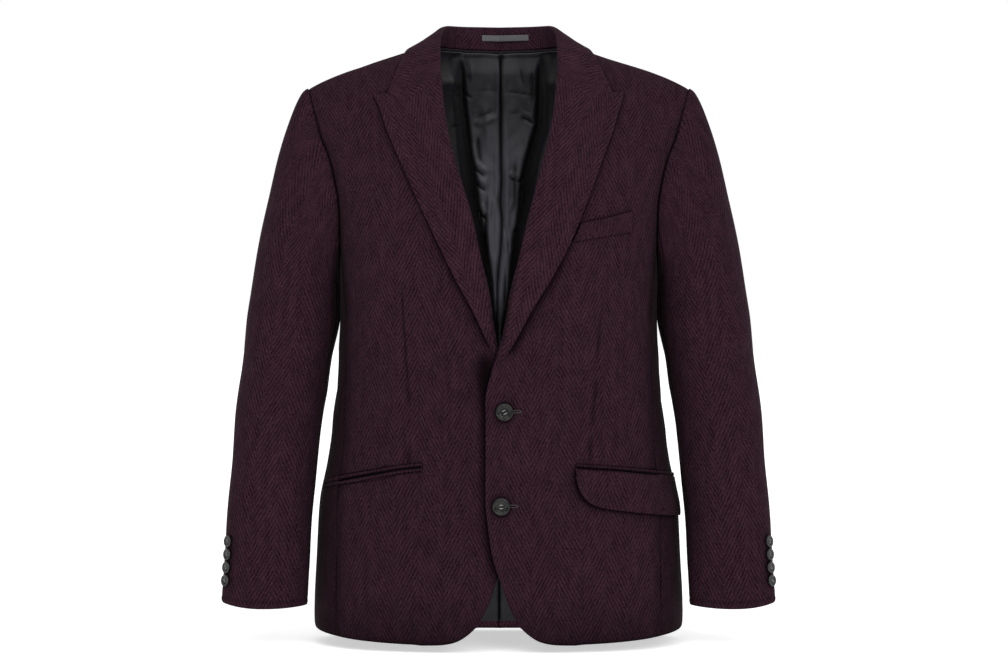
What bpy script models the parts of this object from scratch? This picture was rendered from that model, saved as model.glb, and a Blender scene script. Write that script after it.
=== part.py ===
# A man's single-breasted jacket with peak lapels, filled out and hollow, in its sewn pieces.
# Lengths below are in millimetres and become metres when a mesh is made.
# +Z is up, the front faces -Y and the wearer's left is +X. The origin lies between the shoulders,
# level with the middle of the two shoulder seams.
import bpy
import math
import numpy as np
from mathutils import Vector
from mathutils.bvhtree import BVHTree

MM = 0.001
CLOTH = 1.8        # body and sleeve cloth with its fusing
FOLD = 2.0         # lapel and collar, two layers pressed
LINING = 1.0
SEAM = 0.35        # half of the space left at a seam, on the outer face
FRONT_CURVE, BACK_CURVE = 2.5, 2.6   # roundness of the body's half sections
MID_DEPTH = 8.0    # depth of the shoulder seam and of the widest line of the side

# ---------------------------------------------------------------- tables
def table(*rows):
    a = np.array(rows, float)
    return a[np.argsort(a[:, 0])]

# height, half width, depth before the mid line, depth behind it
BODY = table(
    (-700, 224.0, 133, 104), (-667, 224.5, 133, 104), (-592, 223.3, 132, 103), (-518, 218.4, 129, 97),
    (-470, 209.2, 125, 87), (-430, 203.0, 123, 80), (-396, 199.5, 124, 80), (-350, 195.5, 128, 86),
    (-299, 193.5, 132, 96), (-235, 194.5, 134, 105), (-200, 200.0, 133, 107), (-150, 209.0, 132, 107),
    (-100, 222.0, 132, 107), (-50, 240.0, 132, 107), (-16, 255.0, 132, 107), (45, 290.0, 132, 107),
    (80, 305.0, 132, 107))
# distance from the centre, height of the shoulder line
RIDGE = table((0, 76), (40, 62), (60, 51), (80, 40.5), (95, 34.5), (114, 28.3), (130, 23), (160, 13.4),
              (188.5, 3.7), (213, -6.1), (232.5, -16), (250, -26), (320, -60))
# height, armhole's distance from the centre at the front, and at the back
ARMHOLE = table((-16, 232.5, 232.5), (-48, 223, 224), (-79, 214, 215), (-106, 203, 205), (-132, 196.6, 199),
                (-162, 191.5, 195), (-200, 190.5, 193.2), (-222, 191.7, 193.3), (-235, 194.5, 194.5))
# height, distance of the front edge from the centre: square overlap, then the cutaway
EDGE = table((-393, -14.5), (-519, -14.5), (-538, -12.2), (-558, -9.8), (-576, -6.7), (-594, -1.8),
             (-606, 2.8), (-627, 9.8), (-643.5, 16.6), (-652, 21.0), (-660, 26.2))
# lower half of the cutaway, along the hem: distance from the centre, height
ROUND = ((26.2, -660), (37.5, -669.7), (49.1, -676.3), (65.5, -680.0), (89.8, -681.0))
# height, roll line on the left front, on the right front
ROLL = table((-346, -4.5, 4.6), (-337, 0.8, 4.9), (-311, 7.8, 6.6), (-265, 15.9, 12.4), (-230, 25.3, 21.4),
             (-177, 37.4, 33.1), (-165, 40.5, 36.4), (-118, 52.4, 50.6), (-63, 65.2, 63.3), (-36, 68.6, 66.9), (-12, 70.6, 69.2), (6, 72.0, 71.0))
LAPEL_END = {1: -342.0, -1: -326.0}   # how far down each lapel is folded
# height, outer edge of the left lapel, of the right lapel
LAPEL = table((-346, 7.0, 5.5), (-337, 11.6, 8.8), (-323, 19.5, 13.8), (-290, 37.0, 28.5), (-255, 58.5, 47.5),
              (-197, 88.5, 76.0), (-113, 121.0, 114.6), (-70, 136.4, 133.0), (-49, 142.9, 140.0), (-28, 150.0, 149.0))
# the top of a lapel: distance, height (roll line, end of the sewn gorge, collar's point, peak)
GORGE = {1: ((70.6, -12), (112.8, -40.2), (136.0, -27.6), (150.2, -27.0)),
         -1: ((69.2, -12), (108.5, -42.0), (132.8, -29.6), (149.2, -29.8))}
# neck seam in front: distance, height
NECK_FRONT = ((80, 40.5), (77.5, 20), (74.0, -8), (71.6, -35), (68.2, -58))
NECK_BACK = ((0, 39), (32, 39.3), (62, 39.8), (80, 40.5))
# side seams as a share of the half width: height, front seam, back seam
SEAMS = table((-700, 0.861, 0.80), (-585, 0.867, 0.81), (-470, 0.90, 0.84), (-350, 0.94, 0.88),
              (-250, 0.963, 0.93), (-215, 0.967, 0.955), (-195, 0.967, 0.966))
FRONT_SEAM_TOP, BACK_SEAM_TOP = -215.0, -195.0
HEM_SIDE, HEM_FRONT_DROP, HEM_BACK_DROP = -667.0, 14.0, 20.0

# the collar, half of it, from the centre back to the gorge:
# place, neck seam (distance, height), fold (x, y, z), outer edge (distance, height)
COLLAR = (
    (0.00, (0, 39), (0, 71, 66.3), (0, 24)),
    (0.20, (32, 39.3), (35, 64, 66), (40, 23)),
    (0.36, (62, 39.8), (60, 40, 64), (80, 25)),
    (0.50, (79.8, 40.6), (69.3, 5, 52), (108, 30.5)),
    (0.62, (77.5, 22), (71, -25, 29), (117.5, 14)),
    (0.74, (74.2, -2), (70.4, -46, 4), (125.5, -8)),
    (0.82, (71.8, -14), (70.0, -57, -10), (131.5, -24)))
COLLAR_END = 0.82
COLLAR_BACK = 0.50          # up to here the collar lies on the back

# sleeve rings: height, centre x, centre y, half width, half depth, roundness
SLEEVE = table((-262, 248.5, 4, 52.5, 59, 2.15), (-299, 251.2, 3, 54.8, 60, 2.15), (-348, 258.4, 0, 53.6, 57, 2.15),
               (-396, 264.5, -5, 53.2, 54, 2.15), (-445, 269.5, -11, 52.5, 50, 2.15), (-494, 273.7, -18, 51.8, 45, 2.15),
               (-543, 277.2, -25, 51.4, 40, 2.15), (-592, 279.6, -31, 51.8, 35, 2.1), (-645, 282.3, -36, 52.8, 31, 2.1))
SLEEVE_TOP = -262.0
CUFF_OUTER, CUFF_FRONT, CUFF_INNER, CUFF_BACK = -637.0, -644.0, -641.0, -640.0
# where the two sleeve seams run, in degrees round the sleeve from its outer side by the front:
# share of the length, front seam, back seam
SLEEVE_SEAM = table((0.0, 118, 248), (0.35, 135, 275), (0.7, 165, 330), (1.0, 184, 372))

def look(rows, col, v):
    """A column's smooth value at v. The first column is the running one."""
    x, y = rows[:, 0], rows[:, col]
    h = np.diff(x)
    d = np.diff(y) / h
    m = np.empty(len(x))
    m[0], m[-1] = d[0], d[-1]
    for i in range(1, len(x) - 1):
        if d[i - 1] * d[i] <= 0:
            m[i] = 0.0
        else:
            w1, w2 = 2 * h[i] + h[i - 1], h[i] + 2 * h[i - 1]
            m[i] = (w1 + w2) / (w1 / d[i - 1] + w2 / d[i])
    v = np.clip(np.asarray(v, float), x[0], x[-1])
    i = np.clip(np.searchsorted(x, v, side="right") - 1, 0, len(h) - 1)
    s = (v - x[i]) / h[i]
    return ((1 + 2 * s) * (1 - s) ** 2 * y[i] + s * (1 - s) ** 2 * h[i] * m[i]
            + s * s * (3 - 2 * s) * y[i + 1] + s * s * (s - 1) * h[i] * m[i + 1])

def smooth(t):
    t = np.clip(t, 0, 1)
    return t * t * (3 - 2 * t)

# ---------------------------------------------------------------- the body's surface
def rise(t, height, p):
    """How full the body is at a drop t below the shoulder line."""
    t = np.clip(t, 0, height)
    return (1 - (1 - t / height) ** p) ** (1 / p)

def front_at(x, z):
    x, z = np.broadcast_arrays(np.asarray(x, float), np.asarray(z, float))
    r = np.minimum(np.abs(x) / look(BODY, 1, z), 1)
    y = MID_DEPTH - look(BODY, 2, z) * (1 - r ** FRONT_CURVE) ** (1 / FRONT_CURVE) * rise(look(RIDGE, 1, np.abs(x)) - z, 260, 1.6)
    return np.stack((x, y, z), -1)

def back_at(x, z):
    x, z = np.broadcast_arrays(np.asarray(x, float), np.asarray(z, float))
    r = np.minimum(np.abs(x) / look(BODY, 1, z), 1)
    y = MID_DEPTH + look(BODY, 3, z) * (1 - r ** BACK_CURVE) ** (1 / BACK_CURVE) * rise(look(RIDGE, 1, np.abs(x)) - z, 220, 2.1)
    return np.stack((x, y, z), -1)

def ring_at(q, z):
    """Round the body: q is 0 at the centre front, 1 at the side, 2 at the centre back."""
    q, z = np.broadcast_arrays(np.asarray(q, float), np.asarray(z, float))
    s = np.sin(np.pi * q / 2)
    a = look(BODY, 1, z)
    f = front_at(a * np.sign(s) * np.abs(s) ** (2 / FRONT_CURVE), z)
    b = back_at(a * np.sign(s) * np.abs(s) ** (2 / BACK_CURVE), z)
    return np.where((q <= 1)[..., None], f, b)

def q_front(x, z):
    return np.arcsin(np.clip(x / look(BODY, 1, z), 0, 1) ** (FRONT_CURVE / 2)) * 2 / np.pi

def q_back(x, z):
    return 2 - np.arcsin(np.clip(x / look(BODY, 1, z), 0, 1) ** (BACK_CURVE / 2)) * 2 / np.pi

def normal_at(surface, u, v, eu=0.5, ev=0.5, away=(0.0, 8.0, -260.0)):
    """The surface's outward unit normal."""
    p = surface(u, v)
    n = np.cross(surface(u + eu, v) - surface(u - eu, v), surface(u, v + ev) - surface(u, v - ev))
    n /= np.maximum(np.linalg.norm(n, axis=-1, keepdims=True), 1e-9)
    out = p - np.array(away) * np.array([1, 1, 0]) - np.array([0, 0, 1]) * p * 0
    out[..., 2] = 0
    sign = np.sign((n * out).sum(-1, keepdims=True))
    return n * np.where(sign == 0, 1, sign)

def hem_front(x):
    c = (1 - np.minimum(np.abs(x) / 224.3, 1) ** FRONT_CURVE) ** (1.25 / FRONT_CURVE)
    return HEM_SIDE - HEM_FRONT_DROP * c

def hem_back(x):
    c = (1 - np.minimum(np.abs(x) / 224.3, 1) ** BACK_CURVE) ** (1 / BACK_CURVE)
    return HEM_SIDE - HEM_BACK_DROP * c

def hem_round(q):
    """The hem's height round the body."""
    c = abs(math.cos(math.pi * q / 2))
    return HEM_SIDE - (HEM_FRONT_DROP * c ** (2.5 / FRONT_CURVE) if q < 1 else HEM_BACK_DROP * c ** (2 / BACK_CURVE))

def seam_gap(z):
    """Half of the space left at the side seams, more where they bend in under the arm."""
    return SEAM * (1.3 + 1.5 * smooth((np.asarray(z, float) + 400) / 110))

# ---------------------------------------------------------------- sheets of cloth
def ease(n, k=0.5):
    """n + 1 steps from 0 to 1, shorter at both ends, where the seams are."""
    u = np.linspace(0, 1, n + 1)
    return u - k * np.sin(2 * np.pi * u) / (2 * np.pi)

def spaced(line, surface, n):
    """n + 1 points of a line in a surface's own coordinates, spaced along it as it runs on the surface."""
    line = np.asarray(line, float)
    w = np.linspace(0, len(line) - 1, (len(line) - 1) * 12 + 1)
    i = np.minimum(w.astype(int), len(line) - 2)
    f = (w - i)[:, None]
    fine = line[i] * (1 - f) + line[i + 1] * f
    p = surface(fine[:, 0], fine[:, 1])
    s = np.concatenate(([0], np.cumsum(np.linalg.norm(np.diff(p, axis=0), axis=1))))
    t = s[-1] * ease(n)
    return np.stack((np.interp(t, s, fine[:, 0]), np.interp(t, s, fine[:, 1])), -1)

def curve(points, n=8):
    """A smooth line through a few points."""
    p = np.asarray(points, float)
    e = np.concatenate((2 * p[:1] - p[1:2], p, 2 * p[-1:] - p[-2:-1]))
    out = []
    for i in range(1, len(e) - 2):
        for t in np.linspace(0, 1, n, endpoint=False):
            out.append(0.5 * (2 * e[i] + (e[i + 1] - e[i - 1]) * t + (2 * e[i - 1] - 5 * e[i] + 4 * e[i + 1] - e[i + 2]) * t * t
                              + (3 * e[i] - e[i - 1] - 3 * e[i + 1] + e[i + 2]) * t ** 3))
    out.append(p[-1])
    return np.array(out)

def patch(bottom, top, left, right, surface, nu, nv):
    """A grid between four lines, in the surface's own coordinates. Rows run up, columns run across."""
    b, t = spaced(bottom, surface, nu), spaced(top, surface, nu)
    l, r = spaced(left, surface, nv), spaced(right, surface, nv)
    u = ease(nu)[None, :, None]
    v = ease(nv)[:, None, None]
    return ((1 - v) * b[None] + v * t[None] + (1 - u) * l[:, None] + u * r[:, None]
            - (1 - u) * (1 - v) * b[0] - u * (1 - v) * b[-1] - (1 - u) * v * t[0] - u * v * t[-1])

def moved(surface, grid, out, **kw):
    """A grid's points on the surface, moved out along its normal."""
    return surface(grid[..., 0], grid[..., 1]) + normal_at(surface, grid[..., 0], grid[..., 1], **kw) * np.asarray(out)[..., None]

coll = bpy.data.collections.new("jacket")

def material(name, colour, rough):
    m = bpy.data.materials.new(name)
    m.use_nodes = True
    b = m.node_tree.nodes["Principled BSDF"]
    b.inputs["Base Color"].default_value = (*colour, 1)
    b.inputs["Roughness"].default_value = rough
    b.inputs["Metallic"].default_value = 0.0
    return m

def add_mesh(name, verts, faces, mat):
    mesh = bpy.data.meshes.new(name)
    mesh.from_pydata([tuple(v) for v in verts], [], faces)
    mesh.update()
    ob = bpy.data.objects.new(name, mesh)
    coll.objects.link(ob)
    mesh.materials.append(mat)
    mesh.shade_smooth()
    return ob

def sheet(name, points, outward, wall, mat, offset=-1.0, even=True):
    """A wall of cloth on a grid of points in mm. outward is a direction, or a point the cloth faces away from."""
    p = np.asarray(points, float)
    nr, nc = p.shape[:2]
    nn = np.cross(p[1:, :-1] - p[:-1, :-1], p[:-1, 1:] - p[:-1, :-1])
    mid = (p[1:, 1:] + p[:-1, :-1]) / 2
    want = outward(mid) if callable(outward) else np.broadcast_to(np.array(outward, float), mid.shape)
    flip = (nn * want).sum() < 0
    faces = []
    for i in range(nr - 1):
        for j in range(nc - 1):
            q = (i * nc + j, (i + 1) * nc + j, (i + 1) * nc + j + 1, i * nc + j + 1)
            q = q[::-1] if flip else q
            faces += [(q[0], q[1], q[2]), (q[0], q[2], q[3])]
    ob = add_mesh(name, p.reshape(-1, 3) * MM, faces, mat)
    s = ob.modifiers.new("wall", "SOLIDIFY")
    s.thickness = wall * MM
    s.offset = offset
    s.use_even_offset = even
    return ob

def from_axis(x=0.0, y=8.0):
    def f(p):
        d = p - np.array((x, y, 0))
        d[..., 2] = 0
        return d
    return f

# ---------------------------------------------------------------- pieces of the body
def mirror(p, side):
    return p * np.array((side, 1, 1))

def front_panel(side, lift):
    col = 1 if side > 0 else 2
    z1 = np.linspace(-660, -393, 11)
    edge = [(float(look(EDGE, 1, z)), z) for z in z1] + [(-13.5, -370), (-9.5, -357), (0.5, -346)]
    z2 = np.linspace(-334, -66, 12)
    roll = [(float(look(ROLL, col, z)) + 6.0, z) for z in z2]
    neck = [(x + 4.4, z - 1.4) for x, z in NECK_FRONT[::-1]][1:]
    left = curve(edge + roll + neck, 5)
    xs = float(look(SEAMS, 1, -672) * look(BODY, 1, -672)) - SEAM
    hem = list(curve(ROUND, 5)) + [(v, float(hem_front(v))) for v in np.linspace(105, xs, 7)]
    zs = np.linspace(hem[-1][1], FRONT_SEAM_TOP, 12)
    seam = [(float(look(SEAMS, 1, z) * look(BODY, 1, z) - seam_gap(z)), z) for z in zs]
    za = np.linspace(FRONT_SEAM_TOP, -17, 12)[1:]
    arm = [(float(look(ARMHOLE, 1, z)) - SEAM, z) for z in za]
    right = seam + arm
    xr = np.linspace(left[-1][0], right[-1][0], 9)
    top = [(v, float(look(RIDGE, 1, v)) - 0.6) for v in xr]
    top[0], top[-1] = tuple(left[-1]), right[-1]
    g = patch(hem, top, left, right, front_at, 9, 19)
    out = lift * smooth((70 - g[..., 0]) / 55) * smooth((-300 - g[..., 1]) / 60)
    return mirror(shoulder(moved(front_at, g, out), -1.7), side)

def shoulder(p, gap):
    """The top row brought up to the shoulder seam, beyond the neck."""
    x = p[-1, :, 0]
    on = x > 84
    p[-1, on, 1] = MID_DEPTH + gap
    p[-1, on, 2] = look(RIDGE, 1, x[on]) - 0.3
    return p

def back_panel(side):
    neck = [(x, z - 2.2) for x, z in curve(NECK_BACK, 5)]
    xs = float(look(SEAMS, 2, -672) * look(BODY, 1, -672)) - SEAM
    hem = [(v, float(hem_back(v))) for v in np.linspace(SEAM, xs, 9)]
    zs = np.linspace(hem[-1][1], BACK_SEAM_TOP, 12)
    seam = [(float(look(SEAMS, 2, z) * look(BODY, 1, z) - seam_gap(z)), z) for z in zs]
    za = np.linspace(BACK_SEAM_TOP, -17, 12)[1:]
    arm = [(float(look(ARMHOLE, 2, z)) - SEAM, z) for z in za]
    left = [(SEAM, z) for z in np.linspace(hem[0][1], neck[0][1], 12)]
    xr = np.linspace(neck[-1][0], arm[-1][0], 7)
    ridge = [(v, float(look(RIDGE, 1, v)) - 0.6) for v in xr]
    top = [(max(x, SEAM), z) for x, z in neck[:-1]] + ridge
    top[-1] = arm[-1]
    g = patch(hem, top, left, seam + arm, back_at, 7, 15)
    return mirror(shoulder(moved(back_at, g, 0.0 * g[..., 0]), 1.9), side)

def side_panel(side):
    """The piece under the arm, round the body from its front seam to its back seam."""
    fs = [(float(q_front(look(SEAMS, 1, z) * look(BODY, 1, z) + seam_gap(z), z)), z) for z in np.linspace(-673, FRONT_SEAM_TOP, 12)]
    bs = [(float(q_back(look(SEAMS, 2, z) * look(BODY, 1, z) + seam_gap(z), z)), z) for z in np.linspace(-673, BACK_SEAM_TOP, 12)]
    hem = [(q, hem_round(q)) for q in np.linspace(fs[0][0], bs[0][0], 9)]
    fs[0], bs[0] = hem[0], hem[-1]
    top = ([(float(q_front(look(ARMHOLE, 1, z), z)), z) for z in np.linspace(FRONT_SEAM_TOP, -234.5, 6)]
           + [(float(q_back(look(ARMHOLE, 2, z), z)), z) for z in np.linspace(-235, BACK_SEAM_TOP, 8)])
    top[0], top[-1] = fs[-1], bs[-1]
    g = patch(hem, top, fs, bs, ring_at, 5, 12)
    return mirror(moved(ring_at, g, 0.0 * g[..., 0], eu=0.002), side)

def back_lining(side):
    neck = [(1.2 + x * 0.985, z - 12.0) for x, z in curve(NECK_BACK, 5)]
    top = neck[:-1] + [(v, float(look(RIDGE, 1, v)) - 13) for v in np.linspace(neck[-1][0], 224, 7)]
    arm = [(float(look(ARMHOLE, 2, z)) - 4.5 - 3 * float(smooth((z + 60) / 40)), z) for z in np.linspace(-190, top[-1][1], 12)]
    seam = [(float(look(SEAMS, 2, z) * look(BODY, 1, z)) - 1.6, z) for z in np.linspace(-665, -198, 12)]
    hem = [(v, float(hem_back(v)) + 13) for v in np.linspace(1.2, seam[0][0], 9)]
    seam[0], top[-1] = hem[-1], arm[-1]
    left = [(1.2, z) for z in np.linspace(hem[0][1], neck[0][1], 12)]
    g = patch(hem, top, left, seam + arm, back_at, 6, 12)
    p = moved(back_at, g, -6.5 - 3 * smooth((g[..., 1] + 20) / 40))
    p[..., 0] = np.maximum(p[..., 0], 0.7)
    return mirror(p, side)

def side_lining(side):
    fs = [(float(q_front(look(SEAMS, 1, z) * look(BODY, 1, z) + 1.5, z)), z) for z in np.linspace(-657, -222, 12)]
    bs = [(float(q_back(look(SEAMS, 2, z) * look(BODY, 1, z) + 1.6, z)), z) for z in np.linspace(-657, -206, 12)]
    hem = [(q, hem_round(q) + 13) for q in np.linspace(fs[0][0], bs[0][0], 9)]
    fs[0], bs[0] = hem[0], hem[-1]
    top = [(q, -222 - 20 * math.sin(math.pi * k) + 16 * k) for k, q in zip(np.linspace(0, 1, 9), np.linspace(fs[-1][0], bs[-1][0], 9))]
    top[0], top[-1] = fs[-1], bs[-1]
    g = patch(hem, top, fs, bs, ring_at, 5, 9)
    return mirror(moved(ring_at, g, -6.5 + 0.0 * g[..., 0], eu=0.002), side)

# ---------------------------------------------------------------- lapels and collar
# across a lapel from inside the roll: share of the way used for the two outer points
NOSE = ((5.0, -0.9), (1.6, -0.9), (-0.9, 0.9), (-1.1, 3.3), (1.2, 5.5))
def lapel_rows(side, n):
    col = 1 if side > 0 else 2
    end = LAPEL_END[side]
    zr = np.linspace(end, GORGE[side][0][1], 16)
    roll = [(float(look(ROLL, col, z)), z) for z in zr]
    ze = np.linspace(end, GORGE[side][3][1], 16)
    edge = [(float(look(LAPEL, col, z)), z) for z in ze]
    edge[-1] = GORGE[side][3]
    roll[-1] = GORGE[side][0]
    low = [roll[0], ((roll[0][0] + edge[0][0]) / 2, end), edge[0]]
    return patch(low, GORGE[side], roll, edge, front_at, 24, n)

def across(row, stops):
    """Points of one row of a lapel, from inside the roll over it to the outer edge."""
    p = front_at(row[:, 0], row[:, 1])
    s = np.concatenate(([0], np.cumsum(np.linalg.norm(np.diff(p, axis=0), axis=1))))
    w = s[-1]
    size = min(1.0, max(0.62, w / 50))
    nose = [(d * size, h * (size if h > 0 else 1)) for d, h in NOSE]
    first = nose[-1][0] + 1.8
    body = [(first + (w - first) * (k - stops[0]) / (1 - stops[0]), 2.7 + 4.0 * (1 - k) ** 1.6 * min(1, w / 60)) for k in stops]
    out = []
    way = (row[1] - row[0]) / max(s[1], 1e-6)
    for d, h in nose + body:
        if d <= s[1]:
            u = row[0] + way * d
        else:
            u = np.array((np.interp(d, s, row[:, 0]), np.interp(d, s, row[:, 1])))
        out.append(front_at(u[0], u[1]) + normal_at(front_at, u[0], u[1]) * h)
    return np.array(out)

STOPS = (0.12, 0.32, 0.60, 1.0)
def lapel(side, lift):
    rows = lapel_rows(side, 11)
    p = np.array([across(r, STOPS) for r in rows])
    k = lift * smooth((-300 - rows[:, 0, 1]) / 60)
    p[..., 1] -= k[:, None]
    return mirror(p, side)

def collar_station(s):
    t = np.array([[r[0], *r[1], *r[2], *r[3]] for r in COLLAR], float)
    v = [float(look(t, c, s)) for c in range(1, 8)]
    on = back_at if s <= COLLAR_BACK else front_at
    e = np.array(on(v[5], v[6]))
    en = np.array(normal_at(on, v[5], v[6]))
    n = np.array(on(v[0], v[1]))
    nn = np.array(normal_at(on, max(v[0], 0.6), v[1]))
    way = np.array([float(look(t, c, min(s + 0.03, COLLAR_END)) - look(t, c, max(s - 0.03, 0))) for c in (3, 4, 5)])
    return n, nn, np.array(v[2:5]), e, en, way / np.linalg.norm(way)

def collar_half(side, count):
    """Sections from the centre back to the gorge; each runs from the neck seam over the fold to the outer edge."""
    g = GORGE[side]
    g = np.array(g[:3], float)
    legs = []
    for k in (0, 1):
        w = g[k + 1] - g[k]
        off = np.array((-w[1], w[0])) / np.linalg.norm(w)
        legs.append(off * np.sign(off[1]))
    end = np.array((g[0] + legs[0] * 1.7, g[1] + (legs[0] + legs[1]) * 1.1, g[2] + legs[1] * 1.5))
    last = across(spaced(end, front_at, 24), (0.12, 0.32, 0.687, 1.0))
    rows = []
    for s in np.linspace(0, COLLAR_END, count):
        n, nn, f, e, en, way = collar_station(s)
        up = f - n - way * ((f - n) @ way)
        high = np.linalg.norm(up)
        up /= high
        out = e - n - way * ((e - n) @ way)
        out -= up * (out @ up)
        out /= np.linalg.norm(out)
        tip = e + en * 3.3
        fall = tip - f
        away = np.cross(np.cross(up, out), fall)
        away *= np.sign(away @ (up + out)) / np.linalg.norm(away)
        row = [n - nn * 0.9, n * 0.5 + f * 0.5 - out * 0.8, f - up * min(3.4, 0.45 * high) - out * 0.7, f + out * 1.2, f + out * 4.6 - up * 2.2,
               f + fall * 0.30 + away * 1.9 + out * 1.6, f + fall * 0.50 + away * 2.0, f + fall * 0.75 + away * 1.3, tip]
        rows.append(row)
    rows = np.array(rows)
    mend = smooth((np.linspace(0, COLLAR_END, count) - 0.52) / (COLLAR_END - 0.52))
    rows += (last - rows[-1])[None] * mend[:, None, None]
    return mirror(rows, side)

def collar():
    right = collar_half(-1, 12)[::-1]
    left = collar_half(1, 12)
    left[0] = right[-1] = (left[0] + right[-1]) / 2 * np.array((0, 1, 1))
    return np.concatenate((right, left[1:]))

# ---------------------------------------------------------------- sleeves
def sleeve_ring(deg, z):
    a = np.radians(deg)
    n = look(SLEEVE, 5, z)
    c, s = np.cos(a), np.sin(a)
    x = look(SLEEVE, 1, z) + look(SLEEVE, 3, z) * np.sign(c) * np.abs(c) ** (2 / n)
    y = look(SLEEVE, 2, z) - look(SLEEVE, 4, z) * np.sign(s) * np.abs(s) ** (2 / n)
    return np.stack(np.broadcast_arrays(x, y, z), -1)

def armhole_point(deg):
    """The armhole, read round like the sleeve: 0 at the top, 90 in front, 180 under the arm, 270 behind."""
    deg = np.asarray(deg, float) % 360
    c = np.cos(np.radians(deg))
    z = -125.5 + 109.5 * np.sign(c) * np.abs(c) ** 0.85
    f = front_at(look(ARMHOLE, 1, z), z)
    b = back_at(look(ARMHOLE, 2, z), z)
    return np.where((deg <= 180)[..., None], f, b)

def sleeve_start(deg):
    """The way the sleeve's cloth leaves the armhole."""
    a = np.radians(deg)
    c, s = np.cos(a), np.sin(a)
    top, low = np.clip(c, 0, 1) ** 1.5, np.clip(-c, 0, 1)
    x = 44 + 30 * top - 41 * low
    y = -14 * s * (1 - low * 0.4)
    z = -4 - 2 * top - 22 * low
    return np.stack((x, y, z), -1)

def cuff_height(deg):
    a = np.radians(deg)
    c, s = np.cos(a), np.sin(a)
    side = np.where(c > 0, CUFF_OUTER, CUFF_INNER)
    face = np.where(s > 0, CUFF_FRONT, CUFF_BACK)
    return side * c * c + face * s * s

def sleeve_at(deg, t):
    """t is 0 at the armhole, 0.36 at the top ring and 1 at the cuff."""
    deg, t = np.broadcast_arrays(np.asarray(deg, float), np.asarray(t, float))
    cut = 0.36
    a = armhole_point(deg) + np.array((1.7, 0, 0)) + np.array((0, 0, 0.5)) * np.clip(np.cos(np.radians(deg)), 0, 1)[..., None]
    b = sleeve_ring(deg, SLEEVE_TOP)
    w = np.clip(t / cut, 0, 1)[..., None]
    down = (sleeve_ring(deg, SLEEVE_TOP - 3) - b) / 3 * (0.9 * np.linalg.norm(b - a, axis=-1))[..., None]
    h = ((2 * w ** 3 - 3 * w ** 2 + 1) * a + (w ** 3 - 2 * w ** 2 + w) * sleeve_start(deg)
         + (-2 * w ** 3 + 3 * w ** 2) * b + (w ** 3 - w ** 2) * down)
    v = np.clip((t - cut) / (1 - cut), 0, 1)
    r = sleeve_ring(deg, SLEEVE_TOP + (cuff_height(deg) - SLEEVE_TOP) * v)
    return np.where((t <= cut)[..., None], h, r)

def sleeve_part(side, first, last, nc, nr):
    """The cloth between two of the sleeve's seams, first and last being functions of t."""
    t = np.concatenate((np.linspace(0, 0.36, 7)[:-1], np.linspace(0.36, 1, nr - 5)))
    k = ease(nc, 0.6)
    g = np.array([[(first(v) * (1 - u) + last(v) * u, v) for u in k] for v in t])
    return mirror(sleeve_at(g[..., 0], g[..., 1]), side)

def sleeve_out(side):
    def f(p):
        z = np.clip(p[..., 2], -645, -262)
        d = p.copy()
        d[..., 0] -= side * look(SLEEVE, 1, z)
        d[..., 1] -= look(SLEEVE, 2, z)
        d[..., 2] = 0
        return d
    return f

GAP_DEG = 0.55
def seam_front(t):
    return float(look(SLEEVE_SEAM, 1, t))
def seam_back(t):
    return float(look(SLEEVE_SEAM, 2, t))

# ---------------------------------------------------------------- small pieces
def laid_on(panels, points, normals, gap):
    """Points brought to the faces of the panels under them, then moved out."""
    verts, faces = [], []
    for ob in panels:
        k = len(verts)
        verts += [tuple(v.co * 1000) for v in ob.data.vertices]
        faces += [tuple(k + i for i in f.vertices) for f in ob.data.polygons]
    tree = BVHTree.FromPolygons(verts, faces)
    out = np.array(points, float)
    gap = np.broadcast_to(gap, out.shape[:-1])
    for i in np.ndindex(out.shape[:-1]):
        n = Vector(normals[i])
        hit = tree.ray_cast(Vector(points[i]) + n * 15, -n, 30)[0]
        out[i] = (hit if hit is not None else Vector(points[i])) + n * float(gap[i])
    return out

def round_piece(name, profile, place, facing, mat, spin=20):
    """A turned piece: its profile has rows of radius and height, from the top down."""
    verts = [(r * MM, 0, h * MM) for r, h in profile]
    mesh = bpy.data.meshes.new(name)
    mesh.from_pydata(verts, [(i, i + 1) for i in range(len(verts) - 1)], [])
    ob = bpy.data.objects.new(name, mesh)
    coll.objects.link(ob)
    mesh.materials.append(mat)
    s = ob.modifiers.new("turn", "SCREW")
    s.steps = s.render_steps = spin
    s.use_merge_vertices = True
    s.merge_threshold = 1e-5
    s.use_smooth_shade = True
    ob.location = tuple(np.array(place) * MM)
    z = np.array(facing, float) / np.linalg.norm(facing)
    ob.rotation_mode = "QUATERNION"
    ob.rotation_quaternion = Vector(z).to_track_quat("Z", "Y")
    return ob

def button_profile(dia, high):
    r = dia / 2
    return ((0, high * 0.62), (r * 0.52, high * 0.62), (r * 0.68, high), (r * 0.90, high),
            (r, high * 0.55), (r * 0.84, high * 0.10), (r * 0.30, 0), (r * 0.26, -1.0), (0, -1.0))

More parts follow.
